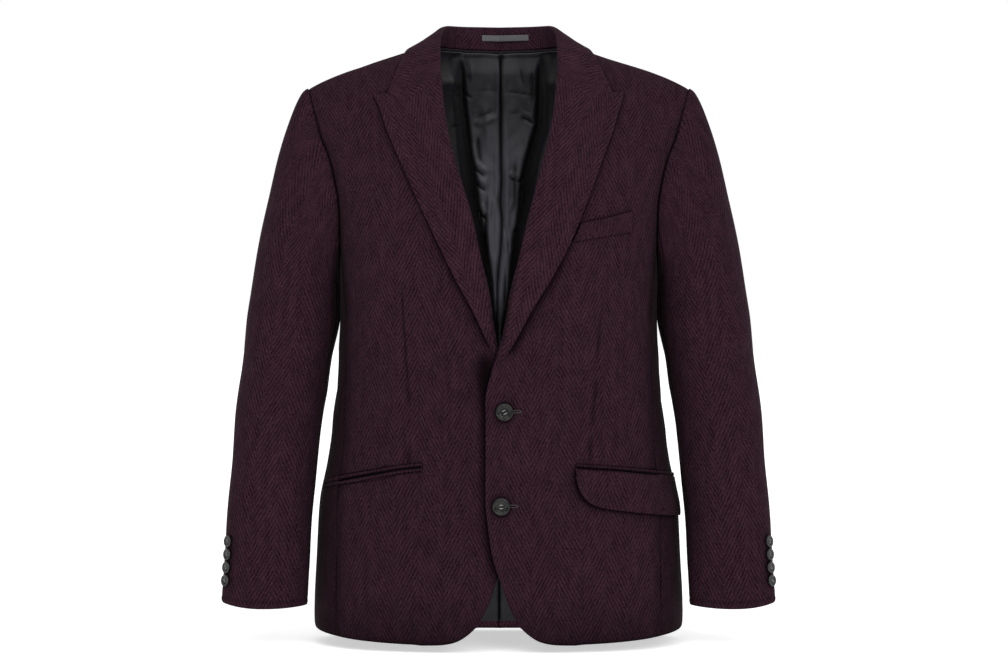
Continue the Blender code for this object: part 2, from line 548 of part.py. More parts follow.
def main():
    for ob in list(bpy.data.objects):
        bpy.data.objects.remove(ob, do_unlink=True)
    if coll.name not in bpy.context.scene.collection.children:
        bpy.context.scene.collection.children.link(coll)
    cloth = material("cloth", (0.031, 0.0115, 0.018), 0.85)
    satin = material("satin", (0.035, 0.035, 0.042), 0.40)
    horn = material("horn", (0.075, 0.070, 0.070), 0.28)
    tape = material("tape", (0.06, 0.06, 0.065), 0.55)
    forward, backward = (0, -1, 0), (0, 1, 0)
    lift = {1: 3.6, -1: 0.0}
    for side, word in ((1, "left"), (-1, "right")):
        sheet("front_" + word, front_panel(side, lift[side]), from_axis(), CLOTH, cloth)
        sheet("back_" + word, back_panel(side), from_axis(), CLOTH, cloth)
        sheet("side_" + word, side_panel(side), from_axis(), CLOTH, cloth)
        sheet("lining_back_" + word, back_lining(side), from_axis(), LINING, satin, even=False)
        sheet("lining_side_" + word, side_lining(side), from_axis(), LINING, satin, even=False)
        sheet("lapel_" + word, lapel(side, lift[side]), forward, FOLD, cloth, 0.0)
        top = sleeve_part(side, lambda t: seam_back(t) - 360 + GAP_DEG, lambda t: seam_front(t) - GAP_DEG, 11, 15)
        sheet("top_sleeve_" + word, top, sleeve_out(side), CLOTH, cloth)
        low = sleeve_part(side, lambda t: seam_front(t) + GAP_DEG, lambda t: seam_back(t) - GAP_DEG, 8, 15)
        sheet("under_sleeve_" + word, low, sleeve_out(side), CLOTH, cloth)
    sheet("collar", collar(), (0, 0, 1), FOLD, cloth, 0.0, even=False)

    # breast pocket welt on the left front, as far as the lapel's edge
    on_left = [bpy.data.objects["front_left"], bpy.data.objects["side_left"]]
    on_right = [bpy.data.objects["front_right"], bpy.data.objects["side_right"]]
    low, high = [(87.5, -208.2), (120, -202.2), (157.4, -195.0)], [(97.0, -186.8), (128, -179.6), (158.0, -171.0)]
    g = patch(low, high, [low[0], high[0]], [low[-1], high[-1]], front_at, 8, 3)
    p, n = front_at(g[..., 0], g[..., 1]), normal_at(front_at, g[..., 0], g[..., 1])
    sheet("breast_welt", laid_on(on_left, p, n, 0.7), forward, 1.1, cloth, 1.0)

    # the mouth of each hip pocket: two narrow jets, and a flap over the left one
    def strip(low, high, n):
        lo = [(float(q_front(x, z)), z) for x, z in low]
        hi = [(float(q_front(x, z)), z) for x, z in high]
        return patch(lo, hi, [lo[0], hi[0]], [lo[-1], hi[-1]], ring_at, n, 1)
    def lay(name, g, panels, side, gap, wall):
        p = mirror(ring_at(g[..., 0], g[..., 1]), side)
        n = mirror(normal_at(ring_at, g[..., 0], g[..., 1], eu=0.002), side)
        sheet(name, laid_on(panels, p, n, gap + 0.5 * smooth((abs(p[..., 0]) - 165) / 20)), from_axis(), wall, cloth, 1.0)
    mouth_r = ((90.0, -472.4), (116, -475.4), (155.6, -482.8), (176, -486.8), (194, -491.6), (211.0, -497.6))
    for word, lo, hi in (("upper", 0.4, 4.4), ("lower", -4.2, -0.4)):
        lay("hip_jet_right_" + word, strip([(x, z + lo) for x, z in mouth_r], [(x, z + hi) for x, z in mouth_r], 14), on_right, -1, 0.8, 0.9)
    top_l = ((92.0, -473.6), (120, -475.6), (148.5, -478.2), (180, -482.0), (204, -486.5), (212.5, -489.2))
    lay("hip_jet_left", strip([(x, z + 0.5) for x, z in top_l], [(x, z + 4.4) for x, z in top_l], 14), on_left, 1, 0.8, 0.9)
    q = lambda pts: [(float(q_front(x, z)), z) for x, z in pts]
    low = curve(q(((94.4, -500.7), (102.5, -511.6), (113.4, -519.0), (140, -525.5), (170, -530.0), (199.0, -533.2), (217.0, -535.2))), 5)
    left = q(((94.4, -500.7), (92.2, -490), (91.7, -482), (92.0, -474.2)))
    high = curve(q([(x, z - 0.6) for x, z in top_l]), 5)
    left[-1] = tuple(high[0])
    g = patch(low, high, left, [low[-1], high[-1]], ring_at, 14, 4)
    lay("hip_flap_left", g, on_left, 1, 0.75 + 0.8 * smooth((-474 - g[..., 1]) / 40), 1.8)

    # the hanging loop inside the collar
    xs = np.linspace(-21, 37, 7)
    loop = np.array([[(x, 60.0, z) for x in xs] for z in (48.9, 56.4)])
    gap = FOLD / 2 + 0.45 + 0.8 * (1 - ((loop[..., 0] - 8) / 29) ** 2)
    loop = laid_on([bpy.data.objects["collar"]], loop, np.broadcast_to((0.0, -1.0, 0.0), loop.shape), gap)
    sheet("hanger_loop", loop, forward, 0.8, tape, 1.0)

    # buttons, each on a short shank of thread
    def put(name, panel, p, n, dia, high, spin):
        n = np.asarray(n, float) / np.linalg.norm(n)
        p = laid_on([bpy.data.objects[panel]], np.array([p], float), np.array([n]), 1.7)[0]
        round_piece(name, button_profile(dia, high), p, n, horn, spin)
    for word, x, z in (("upper", 7.2, -407.5), ("lower", 3.3, -518.4)):
        n = normal_at(front_at, x, z)
        put("front_button_" + word, "front_left", front_at(x, z), n, 20.8, 3.4, 16)
    for side, word in ((1, "left"), (-1, "right")):
        for i, z in enumerate((-565.0, -580.6, -596.2, -611.8)):
            deg = 30.0
            p = sleeve_ring(deg, z)
            a, b = sleeve_ring(deg + 2, z) - sleeve_ring(deg - 2, z), sleeve_ring(deg, z + 4) - sleeve_ring(deg, z - 4)
            n = np.cross(a, b)
            n *= np.sign(n[0])
            put("cuff_button_%s_%d" % (word, i + 1), "top_sleeve_" + word, mirror(p, side), n * np.array((side, 1, 1)), 14.0, 2.8, 12)

main()
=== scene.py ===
# The looks of a single-breasted peak-lapel jacket, filled out and hollow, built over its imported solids.
# Lengths in the tables are in millimetres; meshes are made in metres. The front faces -Y, the wearer's left is +X.
import math

import bpy
import numpy as np
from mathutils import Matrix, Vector
from mathutils.bvhtree import BVHTree


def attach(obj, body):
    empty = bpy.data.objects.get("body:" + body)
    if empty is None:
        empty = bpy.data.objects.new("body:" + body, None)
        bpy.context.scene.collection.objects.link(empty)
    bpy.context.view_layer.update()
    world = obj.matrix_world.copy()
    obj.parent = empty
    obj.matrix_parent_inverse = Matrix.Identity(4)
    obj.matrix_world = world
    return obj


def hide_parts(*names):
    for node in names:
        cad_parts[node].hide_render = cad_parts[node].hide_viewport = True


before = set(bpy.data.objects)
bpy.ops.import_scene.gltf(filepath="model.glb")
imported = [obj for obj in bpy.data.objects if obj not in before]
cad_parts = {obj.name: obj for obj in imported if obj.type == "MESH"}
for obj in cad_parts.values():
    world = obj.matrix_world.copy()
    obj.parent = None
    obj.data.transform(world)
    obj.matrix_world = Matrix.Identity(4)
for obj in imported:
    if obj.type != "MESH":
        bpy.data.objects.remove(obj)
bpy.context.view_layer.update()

MM = 0.001
CELL = 4.6      # size of a grid cell on the large panels
CLOTH, FOLD, LINING = 1.8, 1.9, 0.9
MID_DEPTH = 8.0
FRONT_CURVE, BACK_CURVE = 2.5, 2.6


# ---------------------------------------------------------------- the garment's sizes
def table(*rows):
    a = np.array(rows, float)
    return a[np.argsort(a[:, 0])]


# height, half width, depth before the mid line, depth behind it
BODY = table(
    (-700, 224.0, 133, 104), (-667, 224.5, 133, 104), (-592, 223.3, 132, 103), (-518, 218.4, 129, 97),
    (-470, 209.2, 125, 87), (-430, 203.0, 123, 80), (-396, 199.5, 124, 80), (-350, 195.5, 128, 86),
    (-299, 193.5, 132, 96), (-235, 194.5, 134, 105), (-200, 200.0, 133, 107), (-150, 209.0, 132, 107),
    (-100, 222.0, 132, 107), (-50, 240.0, 132, 107), (-16, 255.0, 132, 107), (45, 290.0, 132, 107),
    (80, 305.0, 132, 107))
# distance from the centre, height of the shoulder line
RIDGE = table((0, 76), (40, 62), (60, 51), (80, 40.5), (95, 34.5), (114, 28.3), (130, 23), (160, 13.4),
              (188.5, 3.7), (213, -6.1), (232.5, -16), (250, -26), (320, -60))
# height, armhole's distance from the centre at the front, and at the back
ARMHOLE = table((-16, 232.5, 232.5), (-48, 223, 224), (-79, 214, 215), (-106, 203, 205), (-132, 196.6, 199),
                (-162, 191.5, 195), (-200, 190.5, 193.2), (-222, 191.7, 193.3), (-235, 194.5, 194.5))
# height, distance of the front edge from the centre
EDGE = table((-393, -14.5), (-519, -14.5), (-538, -12.2), (-558, -9.8), (-576, -6.7), (-594, -1.8),
             (-606, 2.8), (-627, 9.8), (-643.5, 16.6), (-652, 21.0), (-660, 26.2))
# lower half of the cutaway, along the hem: distance from the centre, height
ROUND = ((26.2, -660), (37.5, -669.7), (49.1, -676.3), (65.5, -680.0), (89.8, -681.0))
# height, roll line on the left front, on the right front
ROLL = table((-356, -4.9, -9.0), (-346, -2.2, -4.5), (-337, 1.4, 0.5), (-311, 7.8, 5.8), (-265, 15.9, 12.4),
             (-230, 25.3, 21.4), (-177, 37.4, 33.1), (-165, 40.5, 36.4), (-118, 52.4, 50.6), (-63, 65.2, 63.3), (-36, 68.6, 66.9), (-12, 70.6, 69.2), (6, 72.0, 71.0))
# height, outer edge of the left lapel, of the right lapel
LAPEL = table((-356, 3.0, -1.0), (-346, 7.0, 2.2), (-337, 11.6, 6.6), (-323, 19.5, 13.2), (-290, 37.0, 28.5),
              (-255, 58.5, 47.5), (-197, 88.5, 76.0), (-113, 121.0, 114.6), (-70, 136.4, 133.0),
              (-49, 142.9, 140.0), (-28, 150.0, 149.0))
LAPEL_END = {1: -353.0, -1: -345.0}
# the top of a lapel: distance, height (roll line, end of the sewn gorge, collar's point, peak)
GORGE = {1: ((70.6, -12), (112.8, -40.2), (136.0, -27.6), (150.2, -27.0)),
         -1: ((69.2, -12), (108.5, -42.0), (132.8, -29.6), (149.2, -29.8))}
NECK_FRONT = ((80, 40.5), (77.5, 20), (74.0, -8), (71.6, -35), (68.2, -58))
NECK_BACK = ((0, 39), (32, 39.3), (62, 39.8), (80, 40.5))
# side seams as a share of the half width: height, front seam, back seam
SEAMS = table((-700, 0.861, 0.80), (-585, 0.867, 0.81), (-470, 0.90, 0.84), (-350, 0.94, 0.88),
              (-250, 0.963, 0.93), (-215, 0.967, 0.955), (-195, 0.967, 0.966))
FRONT_SEAM_TOP, BACK_SEAM_TOP = -215.0, -195.0
HEM_SIDE, HEM_FRONT_DROP, HEM_BACK_DROP = -667.0, 14.0, 20.0
# half the collar: place, neck seam (distance, height), fold (x, y, z), outer edge (distance, height)
COLLAR = (
    (0.00, (0, 39), (0, 71, 66.3), (0, 24)),
    (0.20, (32, 39.3), (35, 64, 66), (40, 23)),
    (0.36, (62, 39.8), (60, 40, 64), (80, 25)),
    (0.50, (79.8, 40.6), (69.3, 5, 52), (108, 30.5)),
    (0.62, (77.5, 22), (71, -25, 29), (117.5, 14)),
    (0.74, (74.2, -2), (70.4, -46, 4), (125.5, -8)),
    (0.82, (71.8, -14), (70.0, -57, -10), (131.5, -24)))
COLLAR_BACK = 0.50
COLLAR_END = 0.82
# sleeve rings: height, centre x, centre y, half width, half depth, roundness
SLEEVE = table((-262, 247.6, 4, 54.4, 59, 2.15), (-299, 250.6, 3, 56.6, 60, 2.15), (-348, 258.0, 0, 54.0, 57, 2.15),
               (-396, 264.5, -5, 53.2, 54, 2.15), (-445, 269.5, -11, 52.5, 50, 2.15), (-494, 273.7, -18, 51.8, 45, 2.15),
               (-543, 277.2, -25, 51.4, 40, 2.15), (-592, 279.6, -31, 51.8, 35, 2.1), (-645, 282.3, -36, 52.8, 31, 2.1))
SLEEVE_TOP = -262.0
CUFF_OUTER, CUFF_FRONT, CUFF_INNER, CUFF_BACK = -637.0, -644.0, -641.0, -640.0
# share of the length, front seam, back seam, in degrees round the sleeve from its outer side by the front
SLEEVE_SEAM = table((0.0, 126, 246), (0.25, 150, 285), (0.6, 168, 325), (1.0, 186, 372))
# front dart: height, distance on the left front, on the right
DART = table((-470, 107.8, 105.4), (-429, 110.0, 105.6), (-384, 114.5, 105.9), (-348, 117.3, 108.6),
             (-297, 119.6, 111.8), (-264, 121.9, 113.6), (-246, 122.5, 114.4))
POCKET_RIGHT = ((90.0, -472.4), (116, -475.4), (155.6, -482.8), (176, -486.8), (194, -491.6), (211.0, -497.6))
POCKET_LEFT = ((92.0, -473.6), (120, -475.6), (148.5, -478.2), (180, -482.0), (204, -486.5), (212.5, -489.2))


def look(rows, col, v):
    """A column's smooth value at v. The first column is the running one."""
    x, y = rows[:, 0], rows[:, col]
    h = np.diff(x)
    d = np.diff(y) / h
    m = np.empty(len(x))
    m[0], m[-1] = d[0], d[-1]
    for i in range(1, len(x) - 1):
        if d[i - 1] * d[i] <= 0:
            m[i] = 0.0
        else:
            w1, w2 = 2 * h[i] + h[i - 1], h[i] + 2 * h[i - 1]
            m[i] = (w1 + w2) / (w1 / d[i - 1] + w2 / d[i])
    v = np.clip(np.asarray(v, float), x[0], x[-1])
    i = np.clip(np.searchsorted(x, v, side="right") - 1, 0, len(h) - 1)
    s = (v - x[i]) / h[i]
    return ((1 + 2 * s) * (1 - s) ** 2 * y[i] + s * (1 - s) ** 2 * h[i] * m[i]
            + s * s * (3 - 2 * s) * y[i + 1] + s * s * (s - 1) * h[i] * m[i + 1])


def smooth(t):
    t = np.clip(t, 0, 1)
    return t * t * (3 - 2 * t)


def unit(v):
    return v / np.maximum(np.linalg.norm(v, axis=-1, keepdims=True), 1e-12)


# ---------------------------------------------------------------- the body's surface
def rise(t, height, p):
    t = np.clip(t, 0, height)
    return (1 - (1 - t / height) ** p) ** (1 / p)


def front_at(x, z):
    x, z = np.broadcast_arrays(np.asarray(x, float), np.asarray(z, float))
    r = np.minimum(np.abs(x) / look(BODY, 1, z), 1)
    y = MID_DEPTH - look(BODY, 2, z) * (1 - r ** FRONT_CURVE) ** (1 / FRONT_CURVE) * rise(look(RIDGE, 1, np.abs(x)) - z, 260, 1.6)
    return np.stack((x, y, z), -1)


def back_at(x, z):
    x, z = np.broadcast_arrays(np.asarray(x, float), np.asarray(z, float))
    r = np.minimum(np.abs(x) / look(BODY, 1, z), 1)
    y = MID_DEPTH + look(BODY, 3, z) * (1 - r ** BACK_CURVE) ** (1 / BACK_CURVE) * rise(look(RIDGE, 1, np.abs(x)) - z, 220, 2.1)
    return np.stack((x, y, z), -1)


def ring_at(q, z):
    """Round the body: q is 0 at the centre front, 1 at the side, 2 at the centre back."""
    q, z = np.broadcast_arrays(np.asarray(q, float), np.asarray(z, float))
    s = np.sin(np.pi * q / 2)
    a = look(BODY, 1, z)
    f = front_at(a * np.sign(s) * np.abs(s) ** (2 / FRONT_CURVE), z)
    b = back_at(a * np.sign(s) * np.abs(s) ** (2 / BACK_CURVE), z)
    return np.where((q <= 1)[..., None], f, b)


def q_front(x, z):
    return np.arcsin(np.clip(x / look(BODY, 1, z), 0, 1) ** (FRONT_CURVE / 2)) * 2 / np.pi


def q_back(x, z):
    return 2 - np.arcsin(np.clip(x / look(BODY, 1, z), 0, 1) ** (BACK_CURVE / 2)) * 2 / np.pi


def normal_at(surface, u, v, eu=0.5, ev=0.5):
    p = surface(u, v)
    n = unit(np.cross(surface(u + eu, v) - surface(u - eu, v), surface(u, v + ev) - surface(u, v - ev)))
    out = p - np.array((0.0, 8.0, 0.0))
    out[..., 2] = 0
    sign = np.sign((n * out).sum(-1, keepdims=True))
    return n * np.where(sign == 0, 1, sign)


def hem_front(x):
    c = (1 - np.minimum(np.abs(x) / 224.3, 1) ** FRONT_CURVE) ** (1.25 / FRONT_CURVE)
    return HEM_SIDE - HEM_FRONT_DROP * c


def hem_back(x):
    c = (1 - np.minimum(np.abs(x) / 224.3, 1) ** BACK_CURVE) ** (1 / BACK_CURVE)
    return HEM_SIDE - HEM_BACK_DROP * c


def hem_round(q):
    c = abs(math.cos(math.pi * q / 2))
    return HEM_SIDE - (HEM_FRONT_DROP * c ** (2.5 / FRONT_CURVE) if q < 1 else HEM_BACK_DROP * c ** (2 / BACK_CURVE))


def seam_x(col, z, off):
    """A side seam's distance from the centre; its two edges close up towards the hem."""
    return float(look(SEAMS, col, z) * look(BODY, 1, z)) + off * (1 - 0.8 * float(smooth((-615 - z) / 30)))


def seam_foot(col, off):
    """Where a side seam meets the hem."""
    hem = hem_front if col == 1 else hem_back
    z = HEM_SIDE
    for _ in range(30):
        z = float(hem(seam_x(col, z, off)))
    return z


# ---------------------------------------------------------------- grids
FINE = (0.0, 0.45, 0.95, 1.5, 2.15, 3.0, 4.2, 6.0)


def steps(length, size, ends=(True, True), dense=()):
    """Places from 0 to 1 on a length in mm, finer at its ends and between the pairs in dense: from, to, size."""
    s = set(np.linspace(0, length, max(2, int(round(length / size)) + 1)))
    if ends[0]:
        s |= set(FINE)
    if ends[1]:
        s |= {length - f for f in FINE}
    for a, b, k in dense:
        s = {v for v in s if not a <= v <= b} | set(np.linspace(a, b, int(round((b - a) / k)) + 1))
    s = sorted(v for v in s if 0 <= v <= length)
    out = [s[0]]
    for v in s[1:]:
        if v - out[-1] > 0.25:
            out.append(v)
    out[-1] = length
    return np.array(out) / length


def curve(points, n=8):
    """A smooth line through a few points."""
    p = np.asarray(points, float)
    e = np.concatenate((2 * p[:1] - p[1:2], p, 2 * p[-1:] - p[-2:-1]))
    out = []
    for i in range(1, len(e) - 2):
        for t in np.linspace(0, 1, n, endpoint=False):
            out.append(0.5 * (2 * e[i] + (e[i + 1] - e[i - 1]) * t + (2 * e[i - 1] - 5 * e[i] + 4 * e[i + 1] - e[i + 2]) * t * t
                              + (3 * e[i] - e[i - 1] - 3 * e[i + 1] + e[i + 2]) * t ** 3))
    out.append(p[-1])
    return np.array(out)


def spaced(line, surface, at):
    """Points of a line in a surface's own coordinates, at the given shares of its length on the surface."""
    line = np.asarray(line, float)
    w = np.linspace(0, len(line) - 1, (len(line) - 1) * 14 + 1)
    i = np.minimum(w.astype(int), len(line) - 2)
    f = (w - i)[:, None]
    fine = line[i] * (1 - f) + line[i + 1] * f
    p = surface(fine[:, 0], fine[:, 1])
    s = np.concatenate(([0], np.cumsum(np.linalg.norm(np.diff(p, axis=0), axis=1))))
    t = s[-1] * np.asarray(at)
    return np.stack((np.interp(t, s, fine[:, 0]), np.interp(t, s, fine[:, 1])), -1)


def patch(bottom, top, left, right, surface, u, v):
    """A grid between four lines, in the surface's own coordinates. Rows run up, columns run across."""
    b, t = spaced(bottom, surface, u), spaced(top, surface, u)
    l, r = spaced(left, surface, v), spaced(right, surface, v)
    u, v = np.asarray(u)[None, :, None], np.asarray(v)[:, None, None]
    return ((1 - v) * b[None] + v * t[None] + (1 - u) * l[:, None] + u * r[:, None]
            - (1 - u) * (1 - v) * b[0] - u * (1 - v) * b[-1] - (1 - u) * v * t[0] - u * v * t[-1])


def grid_normals(P, want):
    n = unit(np.cross(np.gradient(P, axis=1), np.gradient(P, axis=0)))
    w = want(P) if callable(want) else np.broadcast_to(np.array(want, float), P.shape)
    s = 1.0 if (n * w).sum() >= 0 else -1.0
    return n * s, s


def from_axis(x=0.0, y=8.0):
    def f(p):
        d = p - np.array((x, y, 0))
        d[..., 2] = 0
        return d
    return f


def along(P, axis):
    """Length along the grid's rows (axis 1) or columns (axis 0), from its first line."""
    d = np.linalg.norm(np.diff(P, axis=axis), axis=-1)
    z = np.zeros_like(np.take(d, [0], axis=axis))
    return np.concatenate((z, np.cumsum(d, axis=axis)), axis=axis)


def edge_space(P):
    """Distance of each point from the grid's bottom, top, left and right lines."""
    a, b = along(P, 0), along(P, 1)
    return a, a[-1:] - a, b, b[:, -1:] - b


def dip(d, depth, width):
    return depth * np.exp(-(d / width) ** 2)


def waves(a, b, rows):
    """Slow unevenness of the cloth: rows of height, wave length, direction and phase."""
    out = np.zeros(np.broadcast(a, b).shape)
    for h, l, deg, ph in rows:
        c, s = math.cos(math.radians(deg)), math.sin(math.radians(deg))
        out = out + h * np.sin(2 * np.pi * (a * c + b * s) / l + ph)
    return out


def creases(a, b, rows):
    """Soft troughs and ridges. Rows: from (a, b), to (a, b), bow, width, height; a trough's height is negative."""
    out = np.zeros(np.broadcast(a, b).shape)
    for a0, b0, a1, b1, bow, width, height in rows:
        d = np.array((a1 - a0, b1 - b0), float)
        l = np.linalg.norm(d)
        d /= l
        s = ((a - a0) * d[0] + (b - b0) * d[1]) / l
        t = (a - a0) * -d[1] + (b - b0) * d[0] - bow * 4 * np.clip(s, 0, 1) * (1 - np.clip(s, 0, 1))
        fade = smooth(s / 0.3) * smooth((1 - s) / 0.4)
        sharp = np.exp(-np.abs(t / width) ** 1.6)
        out = out + height * fade * sharp
    return out


def flat_uv(P, u0=0.0, v0=0.0, turn=0.0):
    """The cloth laid flat, in metres: across from the left line, up from the bottom line, turned by some degrees."""
    u, v = along(P, 1) + u0, along(P, 0) + v0
    return turned(u, v, turn)


def turned(u, v, turn):
    c, s = math.cos(math.radians(turn)), math.sin(math.radians(turn))
    return np.stack((u * c - v * s, u * s + v * c), -1) * MM


CUTS = {}


def shell(name, P, uv, wall, mats, want, nodes=(), slot="cloth", mid=False, inside=None, cut=True, rim=0.9, narrow=False, line=None):
    """A wall of cloth on a grid of points in mm, with rounded edges. inside marks the quads whose inner face has the second material."""
    N, s = grid_normals(P, want)
    h = wall / 2
    C = P if mid else P - N * h
    nr, nc = P.shape[:2]
    n = nr * nc
    idx = np.arange(n).reshape(nr, nc)
    b = np.concatenate((idx[0, :-1], idx[:-1, -1], idx[-1, :0:-1], idx[:0:-1, 0]))
    i, j = b // nc, b % nc
    ii, jj = np.clip(i, 1, nr - 2), np.clip(j, 1, nc - 2)
    Cb, Nb = C[i, j], N[i, j]
    E = Cb - C[ii, jj]
    E = unit(E - Nb * (E * Nb).sum(-1, keepdims=True))
    du = uv[i, j] - uv[ii, jj]
    du = du / np.maximum(np.linalg.norm(du, axis=-1, keepdims=True), 1e-9)
    verts = [(C + N * h).reshape(-1, 3), (C - N * h).reshape(-1, 3)]
    uvs = [uv.reshape(-1, 2), uv.reshape(-1, 2)]
    rings = [b]
    for k, deg in enumerate((40, 90, 140)):
        a = math.radians(deg)
        verts.append(Cb + Nb * h * math.cos(a) + E * h * rim * math.sin(a))
        uvs.append(uv[i, j] + du * h * a * MM)
        rings.append(2 * n + k * len(b) + np.arange(len(b)))
    rings.append(n + b)
    q = np.stack((idx[:-1, :-1], idx[:-1, 1:], idx[1:, 1:], idx[1:, :-1]), -1).reshape(-1, 4)
    faces = [q, (q + n)[:, ::-1]]
    for r0, r1 in zip(rings[:-1], rings[1:]):
        faces.append(np.stack((np.roll(r0, -1), r0, r1, np.roll(r1, -1)), -1))
    F = np.concatenate(faces)
    if s < 0:
        F = F[:, ::-1]
    V = np.concatenate(verts) * MM
    mesh = bpy.data.meshes.new(name)
    mesh.from_pydata(V.tolist(), [], F.tolist())
    for m in mats:
        mesh.materials.append(m)
    if len(mats) > 1:
        k = np.zeros(len(F), np.int32)
        k[len(q):2 * len(q)] = 1 if inside is None else inside.reshape(-1).astype(np.int32) + (len(mats) - 2)
        mesh.polygons.foreach_set("material_index", k)
    layer = mesh.uv_layers.new(name="grain")
    vi = np.empty(len(mesh.loops), np.int32)
    mesh.loops.foreach_get("vertex_index", vi)
    layer.data.foreach_set("uv", np.concatenate(uvs)[vi].astype(np.float32).ravel())
    # line is painted shade per point, kept as a point attribute: on the outer face, on the inner face only for the
    # lining and cloth set mid, and fading over the rounded rim
    painted_shade_amount = np.zeros((nr, nc)) if line is None else np.clip(line, 0, 1)
    mark = mesh.attributes.new("painted_shade", "FLOAT", "POINT")
    mark.data.foreach_set("value", np.concatenate((painted_shade_amount.ravel(), painted_shade_amount.ravel() if mid or slot == "satin" else np.zeros(n), painted_shade_amount[i, j], painted_shade_amount[i, j] * 0.7, painted_shade_amount[i, j] * 0.4)).astype(np.float32))
    mesh.shade_smooth()
    mesh.update()
    ob = bpy.data.objects.new(name, mesh)
    bpy.context.scene.collection.objects.link(ob)
    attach(ob, "root")
    if nodes:
        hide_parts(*nodes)
    if cut:
        d1, d2 = C[1:, 1:] - C[:-1, :-1], C[1:, :-1] - C[:-1, 1:]
        area = float(np.linalg.norm(np.cross(d1, d2), axis=-1).sum() / 2) * 1e-6
        t = uv.reshape(-1, 2)
        boxes = []
        for deg in (range(-20, 21) if narrow else (0,)):
            r = np.stack((t[:, 0] * math.cos(math.radians(deg)) - t[:, 1] * math.sin(math.radians(deg)),
                          t[:, 0] * math.sin(math.radians(deg)) + t[:, 1] * math.cos(math.radians(deg))), -1)
            w, l = r.max(0) - r.min(0)
            boxes.append((w * l, w, l))
        _, w, l = min(boxes)
        w, l = max(0.01, math.ceil(w * 1000) / 1000), max(0.01, math.ceil(l * 1000) / 1000)
        area = min(max(area, 0.31 * w * l), w * l)
        CUTS[name] = (w, l, round(area, 4))
    return ob


def laid(surface_obs, pts, nrm, gap):
    """Points brought to the outside of the pieces under them, then moved out by a gap, in mm."""
    out = np.array(pts, float)
    gap = np.broadcast_to(gap, out.shape[:-1])
    trees = []
    for ob in surface_obs:
        me = ob.data
        co = np.empty(len(me.vertices) * 3, np.float32)
        me.vertices.foreach_get("co", co)
        trees.append(BVHTree.FromPolygons((co.reshape(-1, 3) * 1000).tolist(), [tuple(p.vertices) for p in me.polygons]))
    for i in np.ndindex(out.shape[:-1]):
        n = Vector(nrm[i])
        p = Vector(pts[i])
        best = None
        for t in trees:
            hit = t.ray_cast(p + n * 15, -n, 30)
            if hit[0] is not None and (best is None or hit[3] < best[1]):
                best = (hit[0], hit[3])
        out[i] = (best[0] if best else p) + n * float(gap[i])
    return out


# ---------------------------------------------------------------- materials
class Tree:
    def __init__(self, name):
        self.m = bpy.data.materials.new(name)
        self.m.use_nodes = True
        self.t = self.m.node_tree
        self.b = self.t.nodes["Principled BSDF"]

    def put(self, node, key, value):
        s = node.inputs[key]
        if isinstance(value, bpy.types.NodeSocket):
            self.t.links.new(value, s)
        elif value is not None:
            s.default_value = value

    def math(self, op, a, b=None, c=None, clamp=False):
        n = self.t.nodes.new("ShaderNodeMath")
        n.operation = op
        n.use_clamp = clamp
        for k, v in enumerate((a, b, c)):
            self.put(n, k, v)
        return n.outputs[0]

    def noise(self, vector, scale, detail=2.0, rough=0.5, stretch=None, twist=None):
        if stretch is not None:
            n = self.t.nodes.new("ShaderNodeMapping")
            self.put(n, "Vector", vector)
            n.inputs["Scale"].default_value = stretch
            if twist is not None:
                n.inputs["Rotation"].default_value = (0, 0, twist)
            vector = n.outputs[0]
        n = self.t.nodes.new("ShaderNodeTexNoise")
        self.put(n, "Vector", vector)
        n.inputs["Scale"].default_value = scale
        n.inputs["Detail"].default_value = detail
        n.inputs["Roughness"].default_value = rough
        return n.outputs[0]

    def mix(self, fac, a, b):
        n = self.t.nodes.new("ShaderNodeMix")
        n.data_type = "RGBA"
        self.put(n, 0, fac)
        self.put(n, 6, a)
        self.put(n, 7, b)
        return n.outputs[2]

    def uv(self):
        n = self.t.nodes.new("ShaderNodeUVMap")
        n.uv_map = "grain"
        return n.outputs[0]

    def xyz(self, vector):
        n = self.t.nodes.new("ShaderNodeSeparateXYZ")
        self.put(n, 0, vector)
        return n.outputs

    def obj(self):
        return self.t.nodes.new("ShaderNodeTexCoord").outputs["Object"]

    def shade(self, colour, rows, line=0.0):
        """Painted shade: the colour mixed towards near-black by ambient occlusion, rows of distance in metres and
        strength, and by line times the painted shade attribute on the mesh.
        """
        f = None
        for dist, power in rows:
            n = self.t.nodes.new("ShaderNodeAmbientOcclusion")
            n.samples = 6
            n.inputs["Distance"].default_value = dist
            p = self.math("POWER", n.outputs["AO"], power)
            f = p if f is None else self.math("MULTIPLY", f, p)
        if line:
            n = self.t.nodes.new("ShaderNodeAttribute")
            n.attribute_name = "painted_shade"
            p = self.math("MULTIPLY_ADD", n.outputs["Fac"], -line, 1.0)
            f = p if f is None else self.math("MULTIPLY", f, p)
        # near-black is the colour of the painted shade
        return self.mix(f, (0.0008, 0.0005, 0.0007, 1), colour)

    def bump(self, height, distance, strength=1.0):
        n = self.t.nodes.new("ShaderNodeBump")
        n.inputs["Strength"].default_value = strength
        n.inputs["Distance"].default_value = distance
        self.put(n, "Height", height)
        self.put(self.b, "Normal", n.outputs[0])


COLUMN = 0.0298            # width of a herringbone column
RISE = 1.92                # climb of its lines
PITCH = 0.00866            # lines' spacing along the grain
DARK = (0.0078, 0.0022, 0.0045, 1)
LIGHT = (0.0436, 0.0170, 0.0264, 1)


